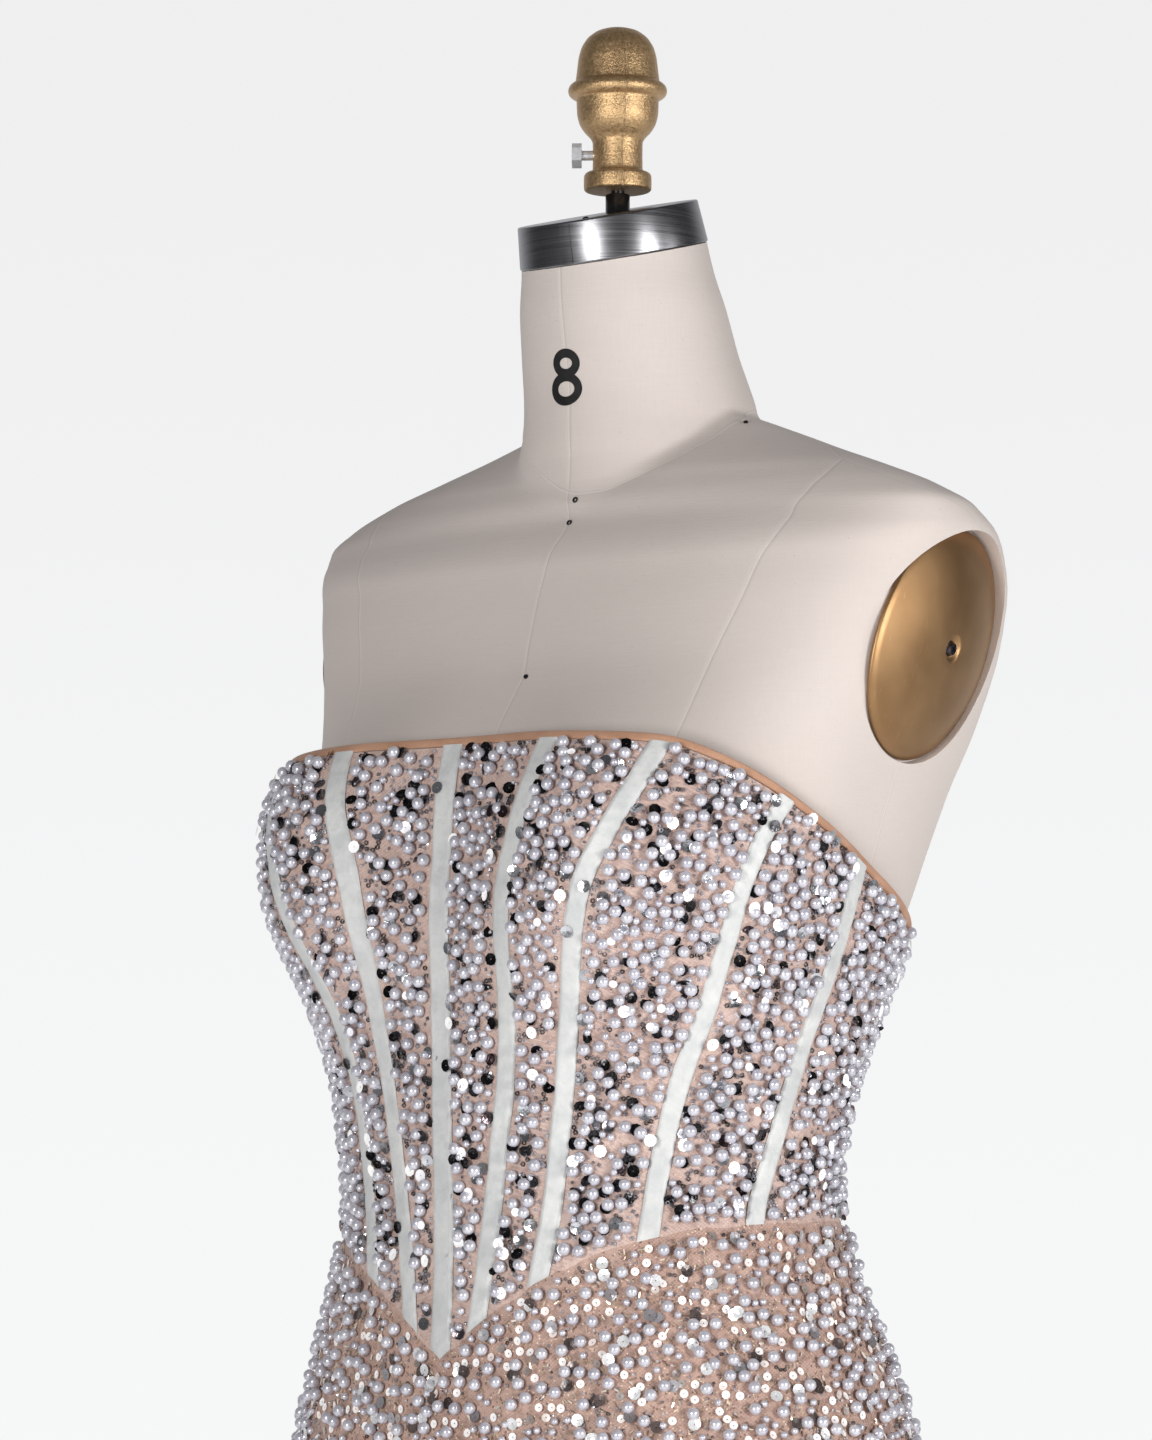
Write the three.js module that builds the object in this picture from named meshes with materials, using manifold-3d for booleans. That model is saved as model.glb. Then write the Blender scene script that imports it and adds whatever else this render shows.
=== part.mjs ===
// A strapless mini dress on its dress form. Millimetres, +Z up. The form faces -Y, its left side is +X,
// and the origin is on the floor under the pole. Section heights are counted from the waist.
import * as THREE from "three";
import { mergeVertices } from "three/addons/utils/BufferGeometryUtils.js";
import Module from "manifold-3d";

const wasm = await Module();
wasm.setup();

// Driving dimensions
const WAIST_HEIGHT = 1040;
const CLOTH_WALL = 2;
const SKIRT_WALL = 1.6;
const FORM_EASE = 2.2; // air between the cloth and the form
const SEAM_GAP = 0.3;
const HEM_DROP = 440; // waist to hem
const BINDING_HEIGHT = 4.5;
const BONE_WIDTH = 9.6;
const CENTRE_BONE_WIDTH = 12;
const BONE_THICKNESS = 1.2;
const BONE_LIFT = 0.6; // bone clear of the panel under it
const FORM_DROP = 340; // waist to the underside of the form
const POLE_DIAMETER = 25;
const POLE_SOCKET = 60; // pole length inside the form
const BASE_DIAMETER = 420;
const TAP_CLEARANCE = 0.3; // between a rod and its bore
const NECK_TILT = 0.253; // rise of the neck band towards the back, per millimetre
const NECK_BAND = { height: 447, y: -2.7, rise: 20.5, lower: 45.6, upper: 43.6 };
const ROD_DIAMETER = 6.5;
const ROD_SLEEVE_DIAMETER = 11.7;
const ROD_SLEEVE_TOP = 477;
const KNOB_HEIGHT = 478.6; // waist to the underside of the cast knob
const SKIRT_ROWS = 12;
const ZIP_END_ROW = 7; // the zip's opening starts at this row of the skirt and is full at the next
const ZIP_END_CLEARANCE = 3;
const ZIP_TAPE_HALF = 5;
const ZIP_CHAIN_HALF = 2.1;
const ZIP_CHAIN_HEIGHT = 1.2;
const SLIDER_BELOW_TOP = 14;

// Outer face of the cloth: half width, depth in front of and behind the section's centre, and how
// square each half is (2 is an ellipse)
const CLOTH_SECTIONS = [
  { z: -440, y: -6, side: 170, front: 121, back: 126, square: 2.2, squareBack: 2.2 },
  { z: -330, y: -7, side: 174, front: 122, back: 129, square: 2.2, squareBack: 2.2 },
  { z: -200, y: -8, side: 172, front: 121, back: 129, square: 2.2, squareBack: 2.2 },
  { z: -113, y: -8, side: 154, front: 121, back: 111, square: 2.15, squareBack: 2.15 },
  { z: -73, y: -9, side: 142, front: 118, back: 100, square: 2.1, squareBack: 2.1 },
  { z: -40, y: -11, side: 131, front: 114, back: 89, square: 2.05, squareBack: 2.1 },
  { z: 0, y: -13, side: 123, front: 112, back: 83, square: 2.0, squareBack: 2.1 },
  { z: 35, y: -14, side: 126, front: 112, back: 86, square: 2.0, squareBack: 2.2 },
  { z: 62, y: -14, side: 130, front: 112, back: 93, square: 2.05, squareBack: 2.4 },
  { z: 90, y: -13, side: 137, front: 112, back: 100, square: 2.1, squareBack: 2.6 },
  { z: 122, y: -11, side: 145, front: 113, back: 110, square: 2.2, squareBack: 2.8 },
  { z: 152, y: -8, side: 151, front: 113, back: 115, square: 2.3, squareBack: 3.0 },
  { z: 185, y: -4, side: 156, front: 115, back: 122, square: 2.4, squareBack: 3.1 },
  { z: 217, y: 0, side: 160, front: 114, back: 124, square: 2.5, squareBack: 3.2 },
];

// The form above the bust, up its shoulders and neck; below it, the form follows the cloth
const FORM_FOLLOWS_TO = 122;
const CHEST_SECTIONS = [
  { z: 152, y: -8, side: 147, front: 106, back: 111, square: 2.3, squareBack: 3.0 },
  { z: 185, y: -3, side: 152.5, front: 98, back: 120, square: 2.5, squareBack: 3.1 },
  { z: 217, y: 4, side: 160.5, front: 90, back: 124, square: 2.7, squareBack: 3.3 },
  { z: 247, y: 10, side: 170, front: 81, back: 121, square: 2.8, squareBack: 3.4 },
  { z: 272, y: 15, side: 178, front: 78, back: 111, square: 2.8, squareBack: 3.4 },
  { z: 292, y: 18, side: 184, front: 75, back: 101, square: 2.7, squareBack: 3.1 },
  { z: 306, y: 18, side: 188, front: 68, back: 91, square: 2.5, squareBack: 2.7 },
  { z: 316, y: 14, side: 186.5, front: 57, back: 82, square: 2.3, squareBack: 2.4 },
  { z: 326, y: 10, side: 173, front: 49, back: 77, square: 2.0, squareBack: 2.1 },
  { z: 336, y: 8, side: 149, front: 40, back: 74, square: 1.9, squareBack: 2.0 },
  { z: 346, y: 12, side: 120, front: 35, back: 67, square: 1.9, squareBack: 2.0 },
  { z: 356, y: 17, side: 92, front: 29, back: 61, square: 1.9, squareBack: 2.0 },
  { z: 366, y: 19, side: 64, front: 21, back: 55, square: 2.0, squareBack: 2.0 },
  { z: 378, y: 16, side: 30, front: 14, back: 50, square: 2.0, squareBack: 2.0 },
  { z: 400, y: 9, side: 20, front: 10, back: 40, square: 2.0, squareBack: 2.0 },
  { z: 475, y: -8, side: 20, front: 10, back: 30, square: 2.0, squareBack: 2.0 },
];

// The neck, which stands on the shoulders' centre line and meets them in a tight curve
const NECK_SECTIONS = [
  { z: 316, side: 61, front: 52, back: 66, square: 2, squareBack: 2 },
  { z: 326, side: 61, front: 49, back: 70, square: 2, squareBack: 2 },
  { z: 336, side: 60.5, front: 46, back: 70, square: 2, squareBack: 2 },
  { z: 346, side: 59.5, front: 50, back: 68, square: 2, squareBack: 2 },
  { z: 356, side: 58.5, front: 56, back: 63, square: 2, squareBack: 2 },
  { z: 366, side: 57, front: 58, back: 58, square: 2, squareBack: 2 },
  { z: 378, side: 55.5, front: 55, back: 55.5, square: 2, squareBack: 2 },
  { z: 400, side: 52.5, front: 51, back: 51.5, square: 2, squareBack: 2 },
  { z: 420, side: 50.2, front: 48.5, back: 49, square: 2, squareBack: 2 },
  { z: 440, side: 46.4, front: 45, back: 45.6, square: 2, squareBack: 2 },
  { z: 475, side: 43.5, front: 42, back: 42.2, square: 2, squareBack: 2 },
];
const NECK_BLEND = 5;

// Each breast is a rounded swell on the section, at its angle from the centre front in degrees
const BUST = { swell: 32, angle: 36, spread: 23, z: 148, under: 60 };
const CLOTH_BUST = { ...BUST, over: 64, power: 2.8 };
const FORM_BUST = { ...BUST, over: 52, power: 2.2 };

// Seams of the bodice, as angles from the centre front in degrees, at heights above the waist
const SEAM_ANGLES = [
  { z: -77, cup: 8.6, apex: 22, flank: 46, side: 69, blade: 108, back: 144 },
  { z: -40, cup: 11.4, apex: 25.2, flank: 48, side: 71, blade: 109, back: 144 },
  { z: -10, cup: 13.8, apex: 28.4, flank: 50.8, side: 74.6, blade: 110.5, back: 145 },
  { z: 20, cup: 15.9, apex: 30.6, flank: 53.8, side: 79.4, blade: 112, back: 146 },
  { z: 50, cup: 18, apex: 32.3, flank: 57, side: 83.2, blade: 113.5, back: 147 },
  { z: 80, cup: 19.1, apex: 33.5, flank: 60.9, side: 86.4, blade: 115.5, back: 148 },
  { z: 110, cup: 19, apex: 34.3, flank: 62.7, side: 88.7, blade: 117.5, back: 149 },
  { z: 135, cup: 19.6, apex: 35.6, flank: 64, side: 89.5, blade: 118.5, back: 150 },
  { z: 160, cup: 21.8, apex: 39.3, flank: 66.8, side: 90.2, blade: 119.5, back: 151 },
  { z: 185, cup: 24.5, apex: 44, flank: 71.5, side: 91, blade: 120, back: 152 },
  { z: 210, cup: 27.5, apex: 49, flank: 74, side: 92, blade: 120, back: 152 },
];
const SEAMS = ["centre", "cup", "apex", "flank", "side", "blade", "back", "zip"];
const PANELS = [
  { name: "centre_front", columns: 2 },
  { name: "cup_front", columns: 2 },
  { name: "cup_side", columns: 3 },
  { name: "side_front", columns: 3 },
  { name: "side_back", columns: 4 },
  { name: "shoulder_blade", columns: 4 },
  { name: "centre_back", columns: 3 },
];
const PANEL_ROWS = 12;

// Top edge of the dress and its pointed waist seam, by angle from the centre front
const TOP_EDGE = [
  { angle: 0, z: 208 },
  { angle: 20, z: 208 },
  { angle: 40, z: 206 },
  { angle: 48, z: 204 },
  { angle: 58, z: 195 },
  { angle: 78, z: 169 },
  { angle: 98, z: 143 },
  { angle: 120, z: 121 },
  { angle: 150, z: 105 },
  { angle: 180, z: 100 },
];
const WAIST_SEAM = [
  { angle: 0, z: -76 },
  { angle: 9, z: -62 },
  { angle: 17, z: -51 },
  { angle: 25, z: -41 },
  { angle: 38, z: -29 },
  { angle: 50, z: -21.5 },
  { angle: 65, z: -16 },
  { angle: 90, z: -14 },
  { angle: 180, z: -12 },
];

// The form's rows, denser over the shoulders
const FORM_ROWS = [
  -340, -290, -240, -195, -155, -115, -80, -50, -20, 5, 30, 55, 78, 100, 120, 138, 156, 174, 192, 210,
  230, 250, 268, 283, 295, 304, 311, 317, 322, 327, 332, 337, 342, 347, 352, 357, 362, 368, 376, 392, 415,
];
const FORM_COLUMNS = 64;

// Arm plate: an oval dome in a shallow seat, its plane turned a little to the back and leaning out on top
const ARM = {
  x: 163.1, y: 28.2, z: 252, long: 56.2, short: 48.8, turn: -6, lean: 13.7, oval: 26, margin: 1.5,
};
const ARM_PROFILE = { rim: 2.4, dome: 13.5, dimple: 5, dimpleDepth: 2.2, arc: 7 };
const SCREW = { radius: 3.6, height: 1.8 };

const radians = THREE.MathUtils.degToRad;
const mix = THREE.MathUtils.lerp;

// A smooth curve through a table's column that never overshoots its rows (monotone cubic)
function smooth(table, key, column, at) {
  const last = table.length - 1;
  const x = Math.min(Math.max(at, table[0][key]), table[last][key]);
  const slope = (i) => (table[i + 1][column] - table[i][column]) / (table[i + 1][key] - table[i][key]);
  const tangent = (i) => {
    if (i === 0) return slope(0);
    if (i === last) return slope(last - 1);
    const before = slope(i - 1);
    const after = slope(i);
    return before * after <= 0 ? 0 : (2 * before * after) / (before + after);
  };
  let row = 0;
  while (row < last - 1 && x > table[row + 1][key]) row += 1;
  const step = table[row + 1][key] - table[row][key];
  const t = (x - table[row][key]) / step;
  const a = table[row][column];
  const b = table[row + 1][column];
  const rise = t * t * (3 - 2 * t);
  const bendA = t * (1 - t) * (1 - t) * tangent(row) * step;
  const bendB = t * t * (t - 1) * tangent(row + 1) * step;
  return a + (b - a) * rise + bendA + bendB;
}

// Distance of a section's edge from its centre, at an angle from the centre front
function sectionRadius(sections, bust, angle, z) {
  const turn = radians(angle);
  const facing = Math.cos(turn) > 0;
  const depth = smooth(sections, "z", facing ? "front" : "back", z);
  const square = smooth(sections, "z", facing ? "square" : "squareBack", z);
  const across = (Math.abs(Math.sin(turn)) / smooth(sections, "z", "side", z)) ** square;
  const along = (Math.abs(Math.cos(turn)) / depth) ** square;
  const away = Math.abs(z - bust.z);
  const fullness = z > bust.z ? (away / bust.over) ** bust.power : (away / bust.under) ** 2;
  const breast = (side) => Math.exp(-(((angle - side * bust.angle) / bust.spread) ** 2));
  return (across + along) ** (-1 / square) + bust.swell * Math.exp(-fullness) * (breast(1) + breast(-1));
}

function surfacePoint(sections, radius, angle, z) {
  const turn = radians(angle);
  const centre = smooth(sections, "z", "y", z);
  return new THREE.Vector3(radius * Math.sin(turn), centre - radius * Math.cos(turn), WAIST_HEIGHT + z);
}

const clothRadius = (angle, z) => sectionRadius(CLOTH_SECTIONS, CLOTH_BUST, angle, z);
const clothPoint = (angle, z, offset) =>
  surfacePoint(CLOTH_SECTIONS, clothRadius(angle, z) + offset, angle, z);

const FORM_INSET = CLOTH_WALL + FORM_EASE;
const FORM_SECTIONS = CLOTH_SECTIONS.filter((row) => row.z <= FORM_FOLLOWS_TO)
  .map((row) => ({
    ...row,
    side: row.side - FORM_INSET,
    front: row.front - FORM_INSET,
    back: row.back - FORM_INSET,
  }))
  .concat(CHEST_SECTIONS);

// The form is the outer of its torso and its neck, eased together where they meet
function formPoint(angle, z) {
  const torso = sectionRadius(FORM_SECTIONS, FORM_BUST, angle, z);
  const neck = sectionRadius(NECK_SECTIONS, FORM_BUST, angle, z);
  const share = THREE.MathUtils.clamp(0.5 + (torso - neck) / (2 * NECK_BLEND), 0, 1);
  const radius = mix(neck, torso, share) + NECK_BLEND * share * (1 - share);
  return surfacePoint(FORM_SECTIONS, radius, angle, z);
}

const topEdge = (angle) => smooth(TOP_EDGE, "angle", "z", Math.abs(angle));
const waistSeam = (angle) => smooth(WAIST_SEAM, "angle", "z", Math.abs(angle));

// Geometry from a list of quads, each four points in order round a face seen from outside
function quadGeometry(quads) {
  const positions = quads.flatMap(([a, b, c, d]) => [a, b, c, a, c, d].flatMap((p) => p.toArray()));
  const geometry = new THREE.BufferGeometry();
  geometry.setAttribute("position", new THREE.Float32BufferAttribute(positions, 3));
  geometry.computeVertexNormals();
  return geometry;
}

// A closed wall from an outer and an inner grid: rows rise, columns run from the front to the left side
function wallGeometry(outer, inner) {
  const quads = [];
  const rows = outer.length - 1;
  const columns = outer[0].length - 1;
  for (let i = 0; i < rows; i += 1) {
    for (let j = 0; j < columns; j += 1) {
      quads.push([outer[i][j], outer[i][j + 1], outer[i + 1][j + 1], outer[i + 1][j]]);
      quads.push([inner[i][j], inner[i + 1][j], inner[i + 1][j + 1], inner[i][j + 1]]);
    }
    quads.push([outer[i][0], outer[i + 1][0], inner[i + 1][0], inner[i][0]]);
    quads.push([inner[i][columns], inner[i + 1][columns], outer[i + 1][columns], outer[i][columns]]);
  }
  for (let j = 0; j < columns; j += 1) {
    quads.push([inner[0][j], inner[0][j + 1], outer[0][j + 1], outer[0][j]]);
    quads.push([outer[rows][j], outer[rows][j + 1], inner[rows][j + 1], inner[rows][j]]);
  }
  return quadGeometry(quads);
}

// A closed solid through closed rings, lowest ring first, with a flat fan on each end
function ringGeometry(rings) {
  const quads = [];
  const count = rings[0].length;
  for (let i = 0; i < rings.length - 1; i += 1) {
    for (let j = 0; j < count; j += 1) {
      const next = (j + 1) % count;
      quads.push([rings[i][j], rings[i][next], rings[i + 1][next], rings[i + 1][j]]);
    }
  }
  const middle = (ring) => ring.reduce((sum, p) => sum.add(p), new THREE.Vector3()).divideScalar(count);
  const geometry = quadGeometry(quads);
  const sides = Array.from(geometry.getAttribute("position").array);
  const bottom = middle(rings[0]);
  const top = middle(rings[rings.length - 1]);
  for (let j = 0; j < count; j += 1) {
    const next = (j + 1) % count;
    const low = [bottom, rings[0][next], rings[0][j]];
    const high = [top, rings[rings.length - 1][j], rings[rings.length - 1][next]];
    sides.push(...[...low, ...high].flatMap((p) => p.toArray()));
  }
  const closed = new THREE.BufferGeometry();
  closed.setAttribute("position", new THREE.Float32BufferAttribute(sides, 3));
  closed.computeVertexNormals();
  return closed;
}

// Booleans on closed geometries
function toSolid(geometry) {
  const bare = geometry.index ? geometry.toNonIndexed() : geometry.clone();
  bare.deleteAttribute("normal");
  bare.deleteAttribute("uv");
  const merged = mergeVertices(bare, 1e-4);
  return new wasm.Manifold(
    new wasm.Mesh({
      numProp: 3,
      vertProperties: merged.attributes.position.array,
      triVerts: new Uint32Array(merged.index.array),
    }),
  );
}

function toGeometry(solid) {
  const mesh = solid.getMesh();
  const geometry = new THREE.BufferGeometry();
  geometry.setAttribute("position", new THREE.BufferAttribute(mesh.vertProperties, mesh.numProp));
  geometry.setIndex(new THREE.BufferAttribute(mesh.triVerts, 1));
  return geometry;
}

const cut = (body, ...tools) =>
  toGeometry(tools.reduce((solid, tool) => solid.subtract(toSolid(tool)), toSolid(body)));
const join = (...parts) =>
  toGeometry(parts.map(toSolid).reduce((whole, part) => whole.add(part)));

const paint = (color, roughness, metalness = 0) =>
  new THREE.MeshStandardMaterial({ color, roughness, metalness });
const PAINT = {
  beaded: paint("#c9bcc0", 0.45),
  skirt: paint("#cdb09c", 0.5),
  bone: paint("#dfe2dd", 0.5),
  binding: paint("#c59a7b", 0.8),
  linen: paint("#d8cfc9", 0.9),
  zip: paint("#c4a48f", 0.7),
  steel: paint("#9a9a9c", 0.35, 1),
  dark: paint("#1b1b1d", 0.4, 0.6),
  gold: paint("#a8823f", 0.4, 1),
  chrome: paint("#dcdcdc", 0.2, 1),
};

const dress = new THREE.Group();
function add(name, geometry, material) {
  const mesh = new THREE.Mesh(geometry, material);
  mesh.name = name;
  dress.add(mesh);
  return mesh;
}

const skirtHeight = (angle, row) => mix(-HEM_DROP, waistSeam(angle) - SEAM_GAP, row / SKIRT_ROWS);

// Half width of the zip's opening at a height, none below its end
const zipEnd = skirtHeight(180, ZIP_END_ROW);
const zipFull = skirtHeight(180, ZIP_END_ROW + 1);
const zipHalf = (z) => ZIP_TAPE_HALF * THREE.MathUtils.clamp((z - zipEnd) / (zipFull - zipEnd), 0, 1);

const degreesFor = (length, angle, z) => THREE.MathUtils.radToDeg(length / clothRadius(angle, z));

// Angle of a seam of the bodice on the left half
function seamAngle(seam, z) {
  if (seam === "centre") return 0;
  if (seam === "zip") return 180 - degreesFor(zipHalf(z) + SEAM_GAP / 2, 180, z);
  return smooth(SEAM_ANGLES, "z", seam, z);
}

// Place on a panel: along from its front seam to its back one, up from the waist seam to the binding
function panelPlace(index, along, up) {
  let z = 0;
  let angle = 0;
  for (let pass = 0; pass < 12; pass += 1) {
    const gap = degreesFor(SEAM_GAP / 2, angle, z);
    const front = seamAngle(SEAMS[index], z) + gap;
    const back = seamAngle(SEAMS[index + 1], z) - gap;
    angle = mix(front, back, along);
    z = mix(waistSeam(angle), topEdge(angle) - BINDING_HEIGHT, up);
  }
  return { angle, z };
}

function panelGrid(index, offset) {
  const { columns } = PANELS[index];
  return Array.from({ length: PANEL_ROWS + 1 }, (_, i) =>
    Array.from({ length: columns + 1 }, (__, j) => {
      const place = panelPlace(index, j / columns, i / PANEL_ROWS);
      return clothPoint(place.angle, place.z, offset);
    }),
  );
}

// The same grid on the right half of the body
const mirrored = (grid) =>
  grid.map((row) => row.map((p) => new THREE.Vector3(-p.x, p.y, p.z)).reverse());

const SIDES = [
  { name: "left", turn: (grid) => grid },
  { name: "right", turn: mirrored },
];

for (const side of SIDES) {
  PANELS.forEach((panel, index) => {
    const outer = side.turn(panelGrid(index, 0));
    const inner = side.turn(panelGrid(index, -CLOTH_WALL));
    add(`bodice_${panel.name}_${side.name}`, wallGeometry(outer, inner), PAINT.beaded);
  });
}

// Boning tape over a seam: each edge lies on the panel beside it, half a tape's width from the seam
function boneStrip(before, after, width = BONE_WIDTH) {
  const half = (width - SEAM_GAP) / 2;
  const onto = (edge, next) => edge.clone().add(next.clone().sub(edge).setLength(half));
  return before.map((row, i) => {
    const last = row.length - 1;
    const leftEdge = onto(row[last], row[last - 1]);
    const rightEdge = onto(after[i][0], after[i][1]);
    return [leftEdge, row[last].clone().add(after[i][0]).multiplyScalar(0.5), rightEdge];
  });
}

// Moved straight out from the section's centre line
function lifted(strip, lift) {
  return strip.map((row) =>
    row.map((p) => {
      const centre = smooth(CLOTH_SECTIONS, "z", "y", p.z - WAIST_HEIGHT);
      const out = new THREE.Vector3(p.x, p.y - centre, 0).setLength(lift);
      return p.clone().add(out);
    }),
  );
}

const boneWall = (strip) =>
  wallGeometry(lifted(strip, BONE_LIFT + BONE_THICKNESS), lifted(strip, BONE_LIFT));

const frontPanel = panelGrid(0, 0);
add("bone_centre_front", boneWall(boneStrip(mirrored(frontPanel), frontPanel, CENTRE_BONE_WIDTH)), PAINT.bone);
for (const side of SIDES) {
  SEAMS.slice(1, -1).forEach((seam, index) => {
    const strip = side.turn(boneStrip(panelGrid(index, 0), panelGrid(index + 1, 0)));
    add(`bone_${seam}_${side.name}`, boneWall(strip), PAINT.bone);
  });
}

// Angles of the panels' own corners along the waist seam (up 0) or the top edge (up 1), front to back
const edgeAngles = (up) =>
  PANELS.flatMap((panel, index) =>
    Array.from({ length: panel.columns }, (_, j) => {
      const onCentreFront = index + j === 0;
      return onCentreFront ? 0 : panelPlace(index, j / panel.columns, up).angle;
    }),
  );
const bothHalves = (angles) => [...angles.slice(1).map((angle) => -angle).reverse(), ...angles];

// Binding: one strip all round the top edge, open at the zip
const BINDING_PROUD = 0.6;
function bindingGrid(offset) {
  const low = (angle) => topEdge(angle) - BINDING_HEIGHT + SEAM_GAP;
  const end = 180 - degreesFor(ZIP_TAPE_HALF + SEAM_GAP, 180, topEdge(180));
  const angles = bothHalves([...edgeAngles(1), end]);
  return [low, topEdge].map((height) => angles.map((angle) => clothPoint(angle, height(angle), offset)));
}
add("neckline_binding", wallGeometry(bindingGrid(BINDING_PROUD), bindingGrid(-CLOTH_WALL)), PAINT.binding);

// Skirt: its upper edge has the bodice's own angles, so the waist seam keeps one gap all round
const waistAngles = [...edgeAngles(0), 180];
const sideColumn = waistAngles.findIndex((angle) => angle > 88);

function skirtGrid(columns, offset) {
  return Array.from({ length: SKIRT_ROWS + 1 }, (_, i) =>
    columns.map(({ angle, shift }) => {
      const z = skirtHeight(angle, i);
      const opening = angle === 180 ? zipHalf(z) : 0;
      return clothPoint(angle + degreesFor(shift * (opening + SEAM_GAP / 2), angle, z), z, offset);
    }),
  );
}

const skirtWall = (columns, turn) =>
  wallGeometry(turn(skirtGrid(columns, 0)), turn(skirtGrid(columns, -SKIRT_WALL)));
const sideFirst = waistAngles.slice(0, sideColumn + 1);
// The first and last column of a piece stand back from the seam by half its gap
const withSeams = (angles) =>
  angles.map((angle, j) => ({ angle, shift: j === 0 ? 1 : j === angles.length - 1 ? -1 : 0 }));
const frontColumns = withSeams(bothHalves(sideFirst));
const backColumns = withSeams(waistAngles.slice(sideColumn));
add("skirt_front", skirtWall(frontColumns, (grid) => grid), PAINT.skirt);
for (const side of SIDES) add(`skirt_back_${side.name}`, skirtWall(backColumns, side.turn), PAINT.skirt);

// Centre back zip: tape between the back panels, the closed chain on it, then the slider and its pull
// Their rows are the cloth's own, so that they stay level with it.
const zipTop = topEdge(180);
const backPanel = PANELS.length - 1;
const zipRows = [
  ...Array.from({ length: SKIRT_ROWS - ZIP_END_ROW }, (_, i) => skirtHeight(180, ZIP_END_ROW + 1 + i)),
  ...Array.from({ length: PANEL_ROWS }, (_, i) => panelPlace(backPanel, 1, (i + 1) / PANEL_ROWS).z),
];
function zipGrid(heights, half, offset) {
  return heights.map((z) => {
    const width = degreesFor(Math.min(half, zipHalf(z) - SEAM_GAP / 2), 180, z);
    return [-1, 0, 1].map((side) => clothPoint(180 + side * width, z, offset));
  });
}
const zipWall = (heights, half, high, low) =>
  wallGeometry(zipGrid(heights, half, high), zipGrid(heights, half, low));
const tapeRows = [zipEnd + ZIP_END_CLEARANCE, ...zipRows, zipTop];
add("zip_tape", zipWall(tapeRows, ZIP_TAPE_HALF - SEAM_GAP / 2, 0, -SKIRT_WALL), PAINT.zip);
add("zip_chain", zipWall(zipRows, ZIP_CHAIN_HALF, SEAM_GAP + ZIP_CHAIN_HEIGHT, SEAM_GAP), PAINT.zip);

// Slider: a shield plate with an arched bridge, and a pull that turns on a bar under the bridge
const SLIDER = { width: 7.5, length: 11, thickness: 2.4 };
const BRIDGE = { width: 1.8, inner: 1.9, outer: 2.9 };
const BAR_LIFT = 1; // bar's centre above the slider's plate
const PULL = { width: 6, length: 24, thickness: 1.2, slotWidth: 3, slotLength: 4.2 };

function extruded(shape, depth) {
  const geometry = new THREE.ExtrudeGeometry(shape, { depth, bevelEnabled: false, curveSegments: 8 });
  return geometry.translate(0, 0, -depth / 2);
}

function sliderShape() {
  const shape = new THREE.Shape();
  const half = SLIDER.width / 2;
  shape.moveTo(-half * 0.55, -SLIDER.length / 2);
  shape.lineTo(half * 0.55, -SLIDER.length / 2);
  shape.lineTo(half, SLIDER.length * 0.1);
  shape.absarc(0, SLIDER.length / 2 - half, half, 0, Math.PI, false);
  shape.lineTo(-half, SLIDER.length * 0.1);
  shape.closePath();
  return shape;
}

function bridgeShape() {
  const shape = new THREE.Shape();
  const leg = -BAR_LIFT - SLIDER.thickness / 2;
  shape.moveTo(BRIDGE.outer, leg);
  shape.absarc(0, 0, BRIDGE.outer, 0, Math.PI, false);
  shape.lineTo(-BRIDGE.outer, leg);
  shape.lineTo(-BRIDGE.inner, leg);
  shape.absarc(0, 0, BRIDGE.inner, Math.PI, 0, true);
  shape.lineTo(BRIDGE.inner, leg);
  shape.closePath();
  return shape;
}

// Drawn with its long way down -Y, the bar at the top of its slot on the X axis
function pullShape() {
  const shape = new THREE.Shape();
  const bar = PULL.thickness / 2;
  const half = PULL.width / 2;
  shape.moveTo(-half * 0.75, bar);
  shape.lineTo(-half, -PULL.length + half);
  shape.absarc(0, -PULL.length + half, half, Math.PI, 2 * Math.PI, false);
  shape.lineTo(half * 0.75, bar);
  shape.closePath();
  const slot = new THREE.Path();
  slot.moveTo(-PULL.slotWidth / 2, -bar);
  slot.lineTo(PULL.slotWidth / 2, -bar);
  slot.lineTo(PULL.slotWidth / 2, -bar - PULL.slotLength);
  slot.lineTo(-PULL.slotWidth / 2, -bar - PULL.slotLength);
  slot.closePath();
  const eye = new THREE.Path();
  eye.absarc(0, -PULL.length + half, half * 0.5, 0, 2 * Math.PI, true);
  shape.holes.push(slot, eye);
  return shape;
}

const sliderZ = zipTop - SLIDER_BELOW_TOP;
const chainFace = SEAM_GAP + ZIP_CHAIN_HEIGHT;
const below = clothPoint(180, sliderZ - SLIDER.length / 2, chainFace);
const above = clothPoint(180, sliderZ + SLIDER.length / 2, chainFace);
const lean = Math.atan2(above.y - below.y, above.z - below.z); // the back leans out towards its top
const hingeGroup = new THREE.Group();
const hingeLift = SEAM_GAP + SLIDER.thickness + BAR_LIFT;
const sliderSeat = below.clone().add(above).multiplyScalar(0.5);
const outOfCloth = new THREE.Vector3(0, Math.cos(lean), -Math.sin(lean));
hingeGroup.position.copy(sliderSeat).addScaledVector(outOfCloth, hingeLift);
dress.add(hingeGroup);

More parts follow.
